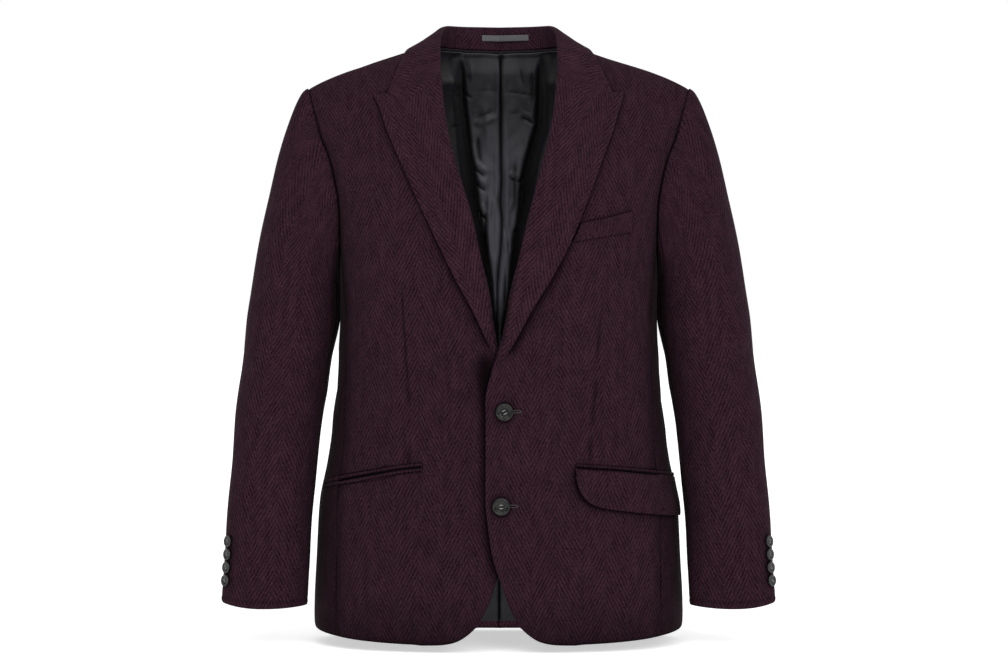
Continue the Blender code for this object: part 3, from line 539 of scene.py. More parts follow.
def cloth_material(name, dark=DARK, light=LIGHT, gain=1.0, rows=((0.020, 1.45), (0.075, 1.05))):
    """Wool herringbone: slanting lines that turn at every column, loosely spun, with a slight nap."""
    k = Tree(name)
    uv = k.uv()
    x = k.xyz(uv)
    warp = k.math("MULTIPLY", k.math("SUBTRACT", k.noise(uv, 16.0, 2.0), 0.5), 0.0034)
    warp2 = k.math("MULTIPLY", k.math("SUBTRACT", k.noise(uv, 300.0, 1.0), 0.5), 0.0056)
    u = k.math("ADD", x[0], k.math("MULTIPLY", warp, 0.8))
    v = k.math("ADD", k.math("ADD", x[1], warp), warp2)
    tri = k.math("PINGPONG", u, COLUMN)
    col = k.math("FLOOR", k.math("DIVIDE", u, COLUMN))
    odd = k.math("FLOORED_MODULO", col, 2.0)
    phase = k.math("ADD", k.math("DIVIDE", k.math("SUBTRACT", v, k.math("MULTIPLY", tri, RISE)), PITCH), k.math("MULTIPLY", odd, 0.5))
    wave = k.math("SINE", k.math("MULTIPLY", phase, 2 * math.pi))
    rib = k.math("MULTIPLY_ADD", wave, 0.5, 0.5)
    # short threads across the lines, fluff and slubs
    thread = k.noise(uv, 1.0, 2.0, 0.6, stretch=(560, 330, 1))
    fluff = k.noise(uv, 1300.0, 2.0, 0.6)
    slub = k.noise(uv, 1.0, 3.0, 0.55, stretch=(120, 40, 1))
    cloud = k.noise(uv, 9.0, 3.0, 0.5)
    worn = k.math("MULTIPLY_ADD", k.noise(uv, 1.0, 2.0, 0.5, stretch=(210, 150, 1)), 2.3, -0.70, clamp=True)
    f = k.math("MULTIPLY_ADD", k.math("MULTIPLY", k.math("SUBTRACT", rib, 0.5), worn), 1.12, 0.26)
    f = k.math("ADD", f, k.math("MULTIPLY", k.math("SUBTRACT", thread, 0.38), 1.55))
    f = k.math("ADD", f, k.math("MULTIPLY", k.math("SUBTRACT", fluff, 0.5), 0.6))
    f = k.math("ADD", f, k.math("MULTIPLY", k.math("SUBTRACT", slub, 0.5), 0.95))
    f = k.math("ADD", f, k.math("MULTIPLY", k.math("SUBTRACT", cloud, 0.5), 0.16))
    f = k.math("SUBTRACT", f, 0.03, clamp=True)
    # gain scales the whole colour: painted light for the lighter copies
    colour = k.mix(f, tuple(c * gain for c in dark[:3]) + (1,), tuple(c * gain for c in light[:3]) + (1,))
    grey = k.math("MULTIPLY_ADD", k.noise(uv, 1.0, 2.0, 0.6, stretch=(240, 190, 1)), 1.6, -0.52, clamp=True)
    colour = k.mix(k.math("MULTIPLY", grey, 0.5), colour, (0.0168 * gain, 0.0102 * gain, 0.0145 * gain, 1))
    dull = k.math("MULTIPLY_ADD", k.noise(uv, 42.0, 3.0, 0.6), 2.2, -0.85, clamp=True)
    colour = k.mix(k.math("MULTIPLY", dull, 0.22), colour, (0.0195 * gain, 0.0110 * gain, 0.0180 * gain, 1))
    # painted shade: the colour darkened by ambient occlusion and the painted shade attribute
    k.put(k.b, "Base Color", k.shade(colour, rows, 0.9))
    k.b.inputs["Roughness"].default_value = 0.9
    k.b.inputs["Specular IOR Level"].default_value = 0.02
    k.b.inputs["Sheen Weight"].default_value = 0.022
    k.b.inputs["Sheen Roughness"].default_value = 0.45
    k.b.inputs["Sheen Tint"].default_value = (1.0, 0.80, 0.86, 1)
    h = k.math("ADD", k.math("MULTIPLY", rib, 0.75), k.math("ADD", k.math("MULTIPLY", thread, 0.55), k.math("MULTIPLY", fluff, 0.4)))
    k.bump(h, 0.00028, 0.9)
    return k.m


def satin_material(name, colour, rough=0.42, rows=((0.012, 1.0), (0.05, 0.9), (0.20, 0.35)), gloss=0.3, sheen=0.08):
    """Smooth lining: very fine crosswise threads and a soft uneven sheen."""
    k = Tree(name)
    uv = k.uv()
    line = k.noise(uv, 1.0, 1.0, 0.5, stretch=(180, 1400, 1))
    cloud = k.noise(uv, 11.0, 3.0, 0.5)
    f = k.math("ADD", k.math("MULTIPLY", line, 0.35), k.math("MULTIPLY", cloud, 0.65), clamp=True)
    # painted shade: the colour darkened by ambient occlusion and the painted shade attribute
    k.put(k.b, "Base Color", k.shade(k.mix(f, tuple(c * 0.80 for c in colour) + (1,), tuple(c * 1.2 for c in colour) + (1,)), rows, 0.95))
    k.put(k.b, "Roughness", k.math("MULTIPLY_ADD", cloud, 0.16, rough - 0.08))
    k.b.inputs["Specular IOR Level"].default_value = gloss
    k.b.inputs["Sheen Weight"].default_value = sheen
    k.bump(k.math("ADD", k.math("MULTIPLY", line, 0.4), k.math("MULTIPLY", k.noise(uv, 60.0, 2.0), 0.8)), 0.00025, 0.6)
    return k.m


def button_material(name, low, high, rough=0.2):
    """Polished dark horn: clouded and streaked."""
    k = Tree(name)
    o = k.obj()
    cloud = k.noise(o, 160.0, 4.0, 0.6)
    streak = k.noise(o, 1.0, 3.0, 0.6, stretch=(420, 90, 160))
    f = k.math("ADD", k.math("MULTIPLY", cloud, 0.8), k.math("MULTIPLY", k.math("SUBTRACT", streak, 0.45), 1.3), clamp=True)
    k.put(k.b, "Base Color", k.mix(f, low + (1,), high + (1,)))
    k.put(k.b, "Roughness", k.math("MULTIPLY_ADD", cloud, 0.14, rough - 0.05))
    k.b.inputs["Specular IOR Level"].default_value = 0.18
    k.b.inputs["Coat Weight"].default_value = 0.06
    k.b.inputs["Coat Roughness"].default_value = 0.08
    k.bump(k.noise(o, 500.0, 2.0), 0.00006, 0.6)
    return k.m


def thread_material(name, colour, rough=0.55):
    """Twisted sewing thread."""
    k = Tree(name)
    o = k.obj()
    f = k.noise(o, 1800.0, 2.0)
    k.put(k.b, "Base Color", k.mix(f, tuple(c * 0.6 for c in colour) + (1,), tuple(c * 1.35 for c in colour) + (1,)))
    k.b.inputs["Roughness"].default_value = rough
    k.b.inputs["Sheen Weight"].default_value = 0.1
    k.bump(f, 0.0001, 0.7)
    return k.m


def tape_material(name, colour):
    """Plain woven tape, with ribs across it."""
    k = Tree(name)
    uv = k.uv()
    x = k.xyz(uv)
    rib = k.math("MULTIPLY_ADD", k.math("SINE", k.math("MULTIPLY", x[0], 2 * math.pi / 0.0016)), 0.5, 0.5)
    f = k.math("MULTIPLY_ADD", k.noise(uv, 500.0, 2.0), 0.8, k.math("MULTIPLY", rib, 0.3))
    k.put(k.b, "Base Color", k.mix(f, tuple(c * 0.7 for c in colour) + (1,), tuple(c * 1.25 for c in colour) + (1,)))
    k.b.inputs["Roughness"].default_value = 0.5
    k.bump(rib, 0.0002, 0.7)
    return k.m


# copies of one herringbone with painted light and shade: the turned-up hem's is brightened 4.1 times, the lapels' and
# the collar's a little, and each has its own strength of painted occlusion
cloth = cloth_material("wool_herringbone")
cloth_hem_painted_light = cloth_material("wool_herringbone_turned_up_painted_light", gain=4.1, rows=((0.008, 0.4),))
cloth_fold = cloth_material("wool_herringbone_fold_painted_light", gain=1.06, rows=((0.020, 1.3), (0.075, 0.4)))
cloth_collar = cloth_material("wool_herringbone_collar_painted_light", gain=1.12, rows=((0.020, 0.9), (0.075, 0.15)))
cloth_sleeve = cloth_material("wool_herringbone_sleeve", gain=1.0, rows=((0.015, 1.2), (0.075, 0.32)))
# the back lining's satin is a lighter copy, painted light that its painted shade brings down again; the sleeve lining's
# is a darker copy
satin = satin_material("satin_lining", (0.074, 0.072, 0.084), 0.42)
satin_back = satin_material("satin_lining_back_painted_light", (0.175, 0.171, 0.199), 0.42, ((0.012, 0.9), (0.05, 0.75), (0.20, 0.25)), 0.18, 0.02)
satin_sleeve = satin_material("satin_sleeve_lining", (0.042, 0.042, 0.048))
horn = button_material("polished_horn", (0.003, 0.0032, 0.0032), (0.026, 0.026, 0.025), 0.15)
horn_cuff = button_material("polished_horn_small", (0.008, 0.008, 0.009), (0.060, 0.059, 0.059), 0.2)
thread = thread_material("sewing_thread", (0.20, 0.20, 0.195))
thread_dark = thread_material("buttonhole_thread", (0.022, 0.010, 0.014), 0.7)
tape = tape_material("hanger_tape", (0.052, 0.052, 0.056))


# near-black for the buttons' holes and the buttonholes' slits: painted shade
k = Tree("slit_shadow")
k.put(k.b, "Base Color", k.mix(k.noise(k.obj(), 900.0, 1.0), (0.002, 0.001, 0.0015, 1), (0.006, 0.003, 0.004, 1)))
k.b.inputs["Roughness"].default_value = 1.0
k.b.inputs["Specular IOR Level"].default_value = 0.0
slit = k.m


def mirror(p, side):
    return p * np.array((side, 1, 1))


# ---------------------------------------------------------------- fronts
LIFT = {1: 4.6, -1: 0.0}
WAVES = ((0.42, 171, 12, 0.4), (0.30, 118, 74, 1.9), (0.22, 83, -38, 4.0), (0.16, 61, 31, 2.2))


def lift_at(x, z, side):
    more = 3.4 * smooth((40 - x) / 45) * np.exp(-((z + 372) / 38) ** 2) if side > 0 else 0.0
    return LIFT[side] * smooth((70 - x) / 55) * smooth((-300 - z) / 60) + more


def lapel_edge_height(z, side):
    """How far a lapel's outer edge stands off the front: pressed at the peak, rolling free above the button."""
    return 3.0 + (5.0 if side > 0 else 2.6) * smooth((-140 - z) / 120) * smooth((z + 352) / 40)


# soft pulls of the fronts: from (x, z), to (x, z), bow, width, height
FRONT_PULLS = {
    1: ((12, -402, 92, -372, 3, 10, 0.7), (14, -414, 118, -430, -4, 12, 0.6), (10, -512, 96, -478, 5, 11, 0.45),
        (150, -250, 185, -330, 5, 13, -0.9), (96, -300, 70, -440, 6, 22, 0.5), (60, -560, 52, -660, 3, 18, 0.6),
        (160, -520, 150, -650, -4, 20, -0.7), (120, -560, 112, -664, 4, 16, 0.5), (176, -60, 168, -150, 4, 18, -0.8),
        (6, -340, 26, -372, 0, 6, 0.5)),
    -1: ((6, -420, 90, -386, 3, 11, 0.6), (10, -520, 98, -486, 4, 12, 0.5), (152, -246, 184, -325, 6, 13, -1.0),
         (92, -310, 66, -450, 6, 22, 0.5), (58, -556, 50, -662, 3, 18, 0.6), (165, -515, 156, -648, -5, 20, -0.8),
         (122, -548, 116, -662, 4, 17, 0.5), (176, -62, 166, -156, 4, 18, -0.9), (20, -356, 30, -420, 2, 10, -0.6))}


def front_panel(side, word):
    col = 1 if side > 0 else 2
    z1 = np.linspace(-660, -393, 16)
    edge = [(float(look(EDGE, 1, z)), z) for z in z1] + [(-12.0, -377), (-8.4, -363), (-4.9, -351), (-2.2, -344)]
    z2 = np.linspace(-336, -66, 16)
    roll = [(float(look(ROLL, col, z)) + 5.4 - 1.4 * (z < -300), z) for z in z2]
    neck = [(x + 2.2, z - 1.4) for x, z in NECK_FRONT[::-1]][1:]
    left = curve(edge + roll + neck, 6)
    xs = seam_x(1, seam_foot(1, -0.55), -0.55)
    hem = list(curve(ROUND, 8)) + [(v, float(hem_front(v))) for v in np.linspace(100, xs, 14)]
    zs = np.linspace(hem[-1][1], FRONT_SEAM_TOP, 24)
    seam = [(seam_x(1, z, -0.55), z) for z in zs]
    arm = [(float(look(ARMHOLE, 1, z)) - 0.4, z) for z in np.linspace(FRONT_SEAM_TOP, -16.5, 24)[1:]]
    right = seam + arm
    top = [(v, float(look(RIDGE, 1, v)) - 0.02) for v in np.linspace(left[-1][0], right[-1][0], 20)]
    top[0] = tuple(left[-1])
    u = steps(232, CELL, dense=(((106, 132, 1.3),)))
    v = steps(745, CELL, dense=(((150, 214, 1.3),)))
    g = patch(hem, top, left, right, front_at, u, v)
    x, z = g[..., 0], g[..., 1]
    P0 = front_at(x, z)
    on = x[-1] > left[-1][0] + 0.5          # both edges of the shoulder seam lie on its line
    P0[-1, on, 1], P0[-1, on, 2] = MID_DEPTH - 0.5, look(RIDGE, 1, x[-1, on])
    N, _ = grid_normals(P0, from_axis())
    bot, up, lef, rig = edge_space(P0)
    d = lift_at(x, z, side)
    d = d + waves(x, z, WAVES) * smooth((x + 20) / 60) * smooth(rig / 30)
    d = d + creases(x, z, FRONT_PULLS[side])
    # the dart: a fine seam in a soft hollow
    dx = x - look(DART, col, z)
    fade = smooth((z + 474) / 10) * smooth((-244 - z) / 46)
    d = d - (0.75 * np.exp(-np.abs(dx / 1.5) ** 1.5) + 0.55 * np.exp(-(dx / 11) ** 2)) * fade
    # seams and edges turn in
    d = d - dip(rig, 0.34, 1.5) - dip(rig, 0.2, 7)
    d = d - dip(up, 0.4, 1.7)
    d = d - dip(lef, 0.5, 1.6) - dip(bot, 0.5, 1.8) + dip(bot - 14, 0.25, 9)
    # hip pocket's mouth
    mouth = np.array(POCKET_RIGHT if side < 0 else POCKET_LEFT)
    zm = np.interp(x, mouth[:, 0], mouth[:, 1])
    inp = smooth((x - mouth[0, 0] + 1) / 3) * smooth((mouth[-1, 0] + 2 - x) / 4)
    d = d - inp * 2.6 * np.exp(-((z - zm) / 1.7) ** 2)
    d = d - inp * 0.5 * np.exp(-((z - zm) / 16) ** 2)
    # painted shade on the front, kept in line: dark along the dart, in the pocket's mouth and at its jets' edges, at
    # the side seam's edge, a little darker towards the bottom, and dark in the armhole's valley and along the side
    line = 0.62 * np.exp(-np.abs(dx / 1.15) ** 2) * fade + 0.9 * inp * np.exp(-((z - zm) / 1.5) ** 2) + 0.05 * np.exp(-(rig / 1.2) ** 2)
    painted_shade_over_mouth = inp * np.exp(-((z - zm - 5.3) / 0.9) ** 2)
    line = line + 0.75 * painted_shade_over_mouth
    if side < 0:
        line = line + 0.7 * inp * np.exp(-((z - zm + 5.4 + 2.4 * np.exp(-((x - 152) / 26) ** 2)) / 0.9) ** 2)
    line = line + (0.02 if side > 0 else 0.07) * smooth((-250 - z) / 120)
    line = line + 0.90 * np.exp(-(rig / 7.5) ** 2) * smooth((-170 - z) / 60) * smooth((z + 312) / 30) + (0.33 if side > 0 else 0.40) * smooth((19 - rig) / 18) * smooth((-225 - z) / 60)
    if side > 0:
        beside = x - look(LAPEL, 1, z)      # the lapel rolls free here and shades the front
        line = line + 0.30 * np.exp(-((beside - 2.0) / 8.5) ** 2) * smooth((-180 - z) / 90) * smooth((z + 356) / 24)
    if side < 0:
        # painted shadow of the left front's edge on the right front, widest just below the lapel's end
        over = x + look(EDGE, 1, np.minimum(z, -393))       # under the left front's edge
        line = line + (0.62 + 0.28 * np.exp(-((z + 366) / 30) ** 2)) * np.exp(-((over - 1.5) / (6.0 + 7.5 * np.exp(-((z + 364) / 24) ** 2))) ** 2) * smooth((-334 - z) / 12)
    P = P0 + N * d[..., None]
    # the cloth's own soft fold where the lapel runs out
    if side > 0:
        P[..., 1] -= 2.0 * np.exp(-((x - np.interp(z, (-392, -370, -346), (-13, -1.6, 8.0)) + 5) / 7.5) ** 2) * smooth((z + 398) / 40) * smooth((-330 - z) / 12)
    uvu = along(P0, 1) + P0[:, :1, 0]
    uvv = along(P0, 0) + P0[:1, :, 2]
    off = 17.8 if side > 0 else 10.1
    uvx = (uvu if side > 0 else -uvu) + off
    uv = np.stack((uvx, uvv), -1) * MM
    mid = (x[1:, 1:] + x[:-1, :-1]) / 2
    midz = (z[1:, 1:] + z[:-1, :-1]) / 2
    inside = mid > 92 + 0.12 * (midz + 400)
    return shell("front_cloth_" + word, mirror(P, side), uv, CLOTH, (cloth, satin), from_axis(), ("front_" + word,),
                 inside=inside, line=line)


# ---------------------------------------------------------------- back and sides
BACK_PULLS = ((150, -60, 128, -230, 6, 26, 1.1), (95, -90, 84, -300, 6, 30, -1.0), (30, -120, 26, -330, 3, 24, 0.7),
              (168, -330, 60, -392, -10, 20, -1.5), (160, -372, 48, -430, -8, 18, 1.0), (150, -430, 70, -462, -6, 16, -0.8),
              (110, -470, 118, -650, 5, 26, -0.9), (56, -500, 62, -668, 4, 24, 0.9), (24, -540, 30, -676, 3, 18, -0.6),
              (176, -200, 150, -330, 6, 16, 0.9), (196, -70, 176, -150, 5, 14, -0.9))


def back_panel(side, word):
    neck = [(max(0.55, x), z - 1.2) for x, z in curve(NECK_BACK, 6)]
    xs = seam_x(2, seam_foot(2, -0.55), -0.55)
    hem = [(v, float(hem_back(v))) for v in np.linspace(0.55, xs, 20)]
    seam = [(seam_x(2, z, -0.55), z) for z in np.linspace(hem[-1][1], BACK_SEAM_TOP, 24)]
    arm = [(float(look(ARMHOLE, 2, z)) - 0.4, z) for z in np.linspace(BACK_SEAM_TOP, -16.5, 24)[1:]]
    left = [(0.55, z) for z in np.linspace(hem[0][1], neck[0][1], 30)]
    ridge = [(v, float(look(RIDGE, 1, v)) - 0.02) for v in np.linspace(neck[-1][0] + 1, arm[-1][0], 14)]
    top = neck + ridge
    rows = np.unique(np.concatenate((steps(735, CELL), 1 - np.array((0.04, 0.12, 0.25)) / 735)))
    g = patch(hem, top, left, seam + arm, back_at, steps(215, CELL), rows)
    x, z = g[..., 0], g[..., 1]
    P0 = back_at(x, z)
    on = x[-1] > neck[-1][0] + 0.9
    P0[-1, on, 1], P0[-1, on, 2] = MID_DEPTH + 0.5, look(RIDGE, 1, x[-1, on])
    N, _ = grid_normals(P0, from_axis())
    bot, up, lef, rig = edge_space(P0)
    k = 1.0 if side > 0 else 0.8
    d = k * creases(x * (1 if side > 0 else 1.06), z + (0 if side > 0 else 14), BACK_PULLS) + waves(x, z, WAVES) * (1.3 if side > 0 else -1.1) * smooth(lef / 20)
    d = d - dip(lef, 0.9, 1.6) - dip(lef, 0.5, 9) - dip(rig, 0.6, 1.7) - dip(rig, 0.3, 8)
    d = d - dip(up, 0.4, 1.7) - dip(bot, 0.5, 1.8) + dip(bot - 14, 0.25, 9)
    P = P0 + N * d[..., None]
    uv = np.stack((along(P0, 1) + 8.0, along(P0, 0) + P0[:1, :, 2]), -1) * MM
    if side < 0:
        uv[..., 0] *= -1
    # within 32 mm of the hem the inner face takes the brightened hem copy, painted light; above, the lining's satin
    inside = (bot[1:, 1:] + bot[:-1, :-1]) / 2 > 32      # the hem is turned up
    return shell("back_cloth_" + word, mirror(P, side), uv, CLOTH, (cloth, cloth_hem_painted_light, satin), from_axis(), ("back_" + word,), inside=inside)


def side_panel(side, word):
    g1 = 0.55
    fs = [(float(q_front(seam_x(1, z, g1), z)), z) for z in np.linspace(seam_foot(1, g1), FRONT_SEAM_TOP, 24)]
    bs = [(float(q_back(seam_x(2, z, g1), z)), z) for z in np.linspace(seam_foot(2, g1), BACK_SEAM_TOP, 24)]
    hem = [(q, hem_round(q)) for q in np.linspace(fs[0][0], bs[0][0], 16)]
    fs[0], bs[0] = hem[0], hem[-1]
    top = ([(float(q_front(look(ARMHOLE, 1, z), z)), z) for z in np.linspace(FRONT_SEAM_TOP, -234.5, 8)]
           + [(float(q_back(look(ARMHOLE, 2, z), z)), z) for z in np.linspace(-235, BACK_SEAM_TOP, 10)])
    top[0], top[-1] = fs[-1], bs[-1]
    g = patch(hem, top, fs, bs, ring_at, steps(130, CELL), steps(465, CELL))
    P0 = ring_at(g[..., 0], g[..., 1])
    N, _ = grid_normals(P0, from_axis())
    bot, up, lef, rig = edge_space(P0)
    a, z = along(P0, 1), g[..., 1]
    rows = ((30, -262, 70, -330, 4, 12, -1.0), (90, -300, 40, -372, -5, 14, 0.9), (100, -380, 20, -420, -5, 13, -1.2),
            (95, -408, 30, -452, -4, 12, 0.8), (60, -480, 66, -640, 3, 20, -0.8))
    d = creases(a + (0 if side > 0 else 6), z + (0 if side > 0 else -12), rows) + waves(a, z, WAVES)
    d = d - dip(lef, 0.34, 1.5) - dip(lef, 0.2, 7) - dip(rig, 0.6, 1.7) - dip(rig, 0.3, 8)
    d = d - dip(up, 0.6, 1.7) - dip(bot, 0.5, 1.8) + dip(bot - 14, 0.25, 9)
    P = P0 + N * d[..., None]
    uv = np.stack((along(P0, 1) + 200.0, along(P0, 0) + P0[:1, :, 2]), -1) * MM
    if side < 0:
        uv[..., 0] *= -1
    # painted shade on the side body, strongest at its front seam and gone 85 mm behind it
    return shell("side_cloth_" + word, mirror(P, side), uv, CLOTH, (cloth, satin), from_axis(), ("side_" + word,), line=(0.35 if side > 0 else 0.42) * (1 - smooth((lef - 25) / 60)))


# ---------------------------------------------------------------- lining
# creases of the back lining as it shows in the neck opening: from (x, z), to (x, z), bow, width, height
LINING_CREASES = {
    1: ((27, -40, 49, -51, 1, 1.8, -3.2), (26, -33, 49, -44, 1, 3, 2), (12, -115, 22, -124, 0, 1.5, -2.6),
        (22, -124, 39, -114, 0, 1.6, -2.8), (29, -127, 34, -153, 2, 4.6, -3.4), (14, -109, 23, -117, 0, 2.8, 2),
        (5, -7, 49, -14, 1, 1.3, -1.4), (7, -36, 48, -33, 0, 1.3, -1), (7, -175, 12, -225, 2, 1.8, -3),
        (18, -182, 24, -192, 0, 1.8, -2.4), (56, 40, 72, 27, 2, 2.2, -3.4), (53, 32, 68, 20, 2, 3.2, 2.4),
        (20, -84, 18, -178, 2, 3.6, -2.4), (13, -71, 12, -273, -2, 3.4, 2.4), (37, -59, 32, -112, 2, 4.5, 1.8),
        (44, 25, 42, -31, 2, 4, -2), (27, 22, 32, -1, 1, 2, -1.2), (9, -225, 5, -296, 1, 2, -2.2),
        (19, -142, 13, -165, 0, 2.6, 1.8)),
    -1: ((69, 27, 45, 41, 2, 2.4, -3.4), (67, 20, 41, 35, 2, 3.2, 3), (64, 8, 49, 20, 2, 8, 4.5),
        (70, 2, 45, -3, -2, 1.8, -4.2), (65, -4, 49, -11, 1, 1.9, -3.4), (49, -6, 34, -17, 1, 1.7, -3.2),
        (67, -46, 43, -47, 1, 1.6, -3), (36, -50, -2, -36, 2, 3.2, 2.6), (36, -44, 1, -28, 1, 2.6, -1.6),
        (34, -102, 14, -118, 2, 1.6, -3.2), (31, -95, 10, -112, 2, 3, 2.2), (30, -122, 14, -137, 2, 1.6, -3),
        (29, -115, 11, -131, 1, 3, 2), (27, -154, 12, -175, 2, 1.7, -3), (24, -151, 10, -167, 1, 3, 1.8),
        (11, -122, 9, -273, 2, 3.4, 2.6), (17, -134, 12, -260, 1, 3, -3), (30, -6, -3, -6, 0, 1.2, -1),
        (40, -36, -2, -37, 0, 1.3, -0.9), (26, -56, 20, -112, 3, 4, -2.2), (36, -69, 29, -147, 2, 4.5, 1.8),
        (22, -187, 15, -225, 2, 2.4, -2.4), (41, 32, 36, -1, 2, 4, -2), (16, -21, 9, -96, 3, 5, 1.5))}
# where the lining turns away into the shade beside the lapels, on each side, and its centre pleat
LINING_TURN = table((33, 52, 47), (-20.8, 49.5, 43.8), (-46, 48.2, 40.1), (-83.9, 36.9, 35), (-121.7, 28, 28.7), (-146.9, 25.5, 26.2),
                    (-172.1, 23, 21.1), (-197.3, 17.9, 16.1), (-222.6, 15.4, 12.3), (-247.8, 12.9, 8.5), (-273, 10.4, 6), (-298.2, 6.3, 4.5),
                    (-323.4, 4.3, 4.2), (-420, 30, 30))
LINING_CENTRE = table((40, 3.4), (-130, 3.4), (-147, 1.8), (-175, 4.0), (-210, 2.2), (-241, -0.8), (-273, -2.2), (-330, -2.2), (-420, 0), (-670, 0.5))


def back_lining(side, word):
    def first(z):
        return side * look(LINING_CENTRE, 1, z) + 0.1
    f0, f1 = float(first(36)), float(first(-668))
    neck = [(f0 + x * (1 - f0 / 80), z - 3.2) for x, z in curve(NECK_BACK, 6)]
    ridge = [(v, float(look(RIDGE, 1, v)) - 9) for v in np.linspace(neck[-1][0] + 2, 222, 10)]
    top = neck + ridge
    arm = [(float(look(ARMHOLE, 2, z)) - 4.5 - 3 * float(smooth((z + 60) / 40)), z) for z in np.linspace(-190, top[-1][1], 14)]
    seam = [(float(look(SEAMS, 2, z) * look(BODY, 1, z)) + 0.6, z) for z in np.linspace(-665, -198, 20)]
    hem = [(v, float(hem_back(v)) + 9) for v in np.linspace(f1, seam[0][0], 20)]
    seam[0], arm[-1] = hem[-1], top[-1]
    left = [(float(first(z)), z) for z in np.linspace(hem[0][1], neck[0][1], 60)]
    u = steps(215, CELL, ends=(True, False), dense=((0, 78, 1.25),))
    v = steps(705, CELL, ends=(False, False), dense=((350, 705, 2.1), (0, 70, 2.4)))
    g = patch(hem, top, left, seam + arm, back_at, u, v)
    x, z = g[..., 0], g[..., 1]
    P0 = back_at(np.abs(x) + 0.01, z)
    P0[..., 0] = x
    N, _ = grid_normals(P0, from_axis())
    lef = along(P0, 1)
    # seen from inside: forward is towards the front
    high = smooth((z + 400) / 70) * smooth((36 - z) / 22)
    s = x - look(LINING_TURN, 1 if side > 0 else 2, z)
    fore = 4.6 + 2.0 * smooth((z + 20) / 40) * smooth((x - 70) / 30) + 8.5 * high * (1 - smooth((s - 50) / 50))
    fore = fore + high * (22 * smooth((s - 4.5) / 18) * (1 - smooth((s - 44) / 50)) - 8.0 * np.exp(-((s - 2.5) / 3.4) ** 2))
    near = 1 - smooth((s - 8) / 10)
    away = smooth((x - 66) / 30)
    bumps = creases(x, z, LINING_CREASES[side])
    low = creases(x, z, ((6, -640, 120, -636, 0, 3.4, 1.8), (6, -652, 130, -650, 0, 2.6, -1.8), (6, -664, 130, -663, 0, 2.6, 1.6), (20, -560, 30, -640, 3, 5, 1.4)))
    wide = waves(x * 1.0, z * 0.6, ((1.1, 43, 12, 1.0), (0.7, 57, 80, 0.3), (0.55, 27, -28, 2.0), (0.34, 17, 38, 0.4), (0.26, 12, -62, 1.3))) * smooth((60 - z) / 60)
    fore = fore + bumps * (1 - away) + wide * (0.3 + 0.35 * near) + low
    fore = fore + creases(x, z, ((120, -100, 100, -380, 5, 9, 2.0), (150, -140, 140, -420, 5, 8, -1.8), (90, -300, 84, -600, 4, 9, 1.6))) * away
    # the pleat down the centre
    fore = fore - 3.2 * np.exp(-(lef / 1.9) ** 2) + (1.6 if side < 0 else 0.8) * np.exp(-((lef - 6) / 4) ** 2)
    fore = np.maximum(fore, 2.4 + 1.6 * smooth((z + 20) / 50))
    P = P0 - N * fore[..., None]
    P[..., 2] = np.minimum(P[..., 2], 39.0)
    uv = np.stack((along(P0, 1), along(P0, 0) + P0[:1, :, 2]), -1) * MM
    # painted shade on the back lining, kept in line: black down the centre pleat, darker upwards from z -120, a thin
    # dark line at z 33 under the neck, dark in the strips beside the lapels and in the creases' troughs, dark lower
    # down and towards the hem, and nearly half dark everywhere but a band between z -140 and -292
    shade = smooth((z + 400) / 70) * smooth((41 - z) / 5)
    line = 0.97 * np.exp(-(lef / 1.15) ** 2) + 0.79 * smooth((z + 120) / 100) + 0.7 * np.exp(-((z - 33.0) / 0.9) ** 2) * smooth((56 - x) / 4)
    line = np.maximum(line, 0.98 * shade * smooth((s + 1.5) / 4) * (1 - smooth((s - 60) / 30)))
    line = line + np.clip(-bumps * (1 - away) - 0.7, 0, 2) * 0.6 + 0.8 * smooth((-284 - z) / 30) * smooth((z + 600) / 60) + 0.26 * smooth((-590 - z) / 30)
    line = 1 - (1 - np.clip(line, 0, 1)) * (0.52 + 0.48 * smooth((-140 - z) / 60) * smooth((z + 292) / 24))
    return shell("lining_satin_back_" + word, mirror(P, side), uv, LINING, (satin_back,), from_axis(), ("lining_back_" + word,), slot="satin",
                 line=line)


def side_lining(side, word):
    fs = [(float(q_front(look(SEAMS, 1, z) * look(BODY, 1, z) + 0.6, z)), z) for z in np.linspace(-657, -222, 20)]
    bs = [(float(q_back(look(SEAMS, 2, z) * look(BODY, 1, z) + 2.2, z)), z) for z in np.linspace(-657, -206, 20)]
    hem = [(q, hem_round(q) + 13) for q in np.linspace(fs[0][0], bs[0][0], 12)]
    fs[0], bs[0] = hem[0], hem[-1]
    top = [(q, -222 - 18 * math.sin(math.pi * k) + 16 * k) for k, q in zip(np.linspace(0, 1, 12), np.linspace(fs[-1][0], bs[-1][0], 12))]
    top[0], top[-1] = fs[-1], bs[-1]
    g = patch(hem, top, fs, bs, ring_at, steps(120, 7, ends=(False, False)), steps(440, 7, ends=(False, False)))
    P0 = ring_at(g[..., 0], g[..., 1])
    N, _ = grid_normals(P0, from_axis())
    a, z = along(P0, 1), g[..., 1]
    d = -4.6 - creases(a, z, ((30, -260, 40, -600, 5, 8, 1.8), (80, -280, 70, -560, -5, 9, -1.6), (56, -420, 60, -650, 3, 7, 1.4)))
    d = np.minimum(d, -2.6)
    P = P0 + N * d[..., None]
    uv = flat_uv(P0)
    return shell("lining_satin_side_" + word, mirror(P, side), uv, LINING, (satin,), from_axis(), ("lining_side_" + word,), slot="satin")


# ---------------------------------------------------------------- lapels and collar
NOSE = ((6.0, -0.9), (3.0, -0.9), (0.7, -0.6), (-0.9, 0.9), (-1.25, 2.6), (-0.4, 4.4), (1.6, 5.6))
STOPS = (0.12, 0.24, 0.40, 0.60, 0.80, 0.93, 1.0)


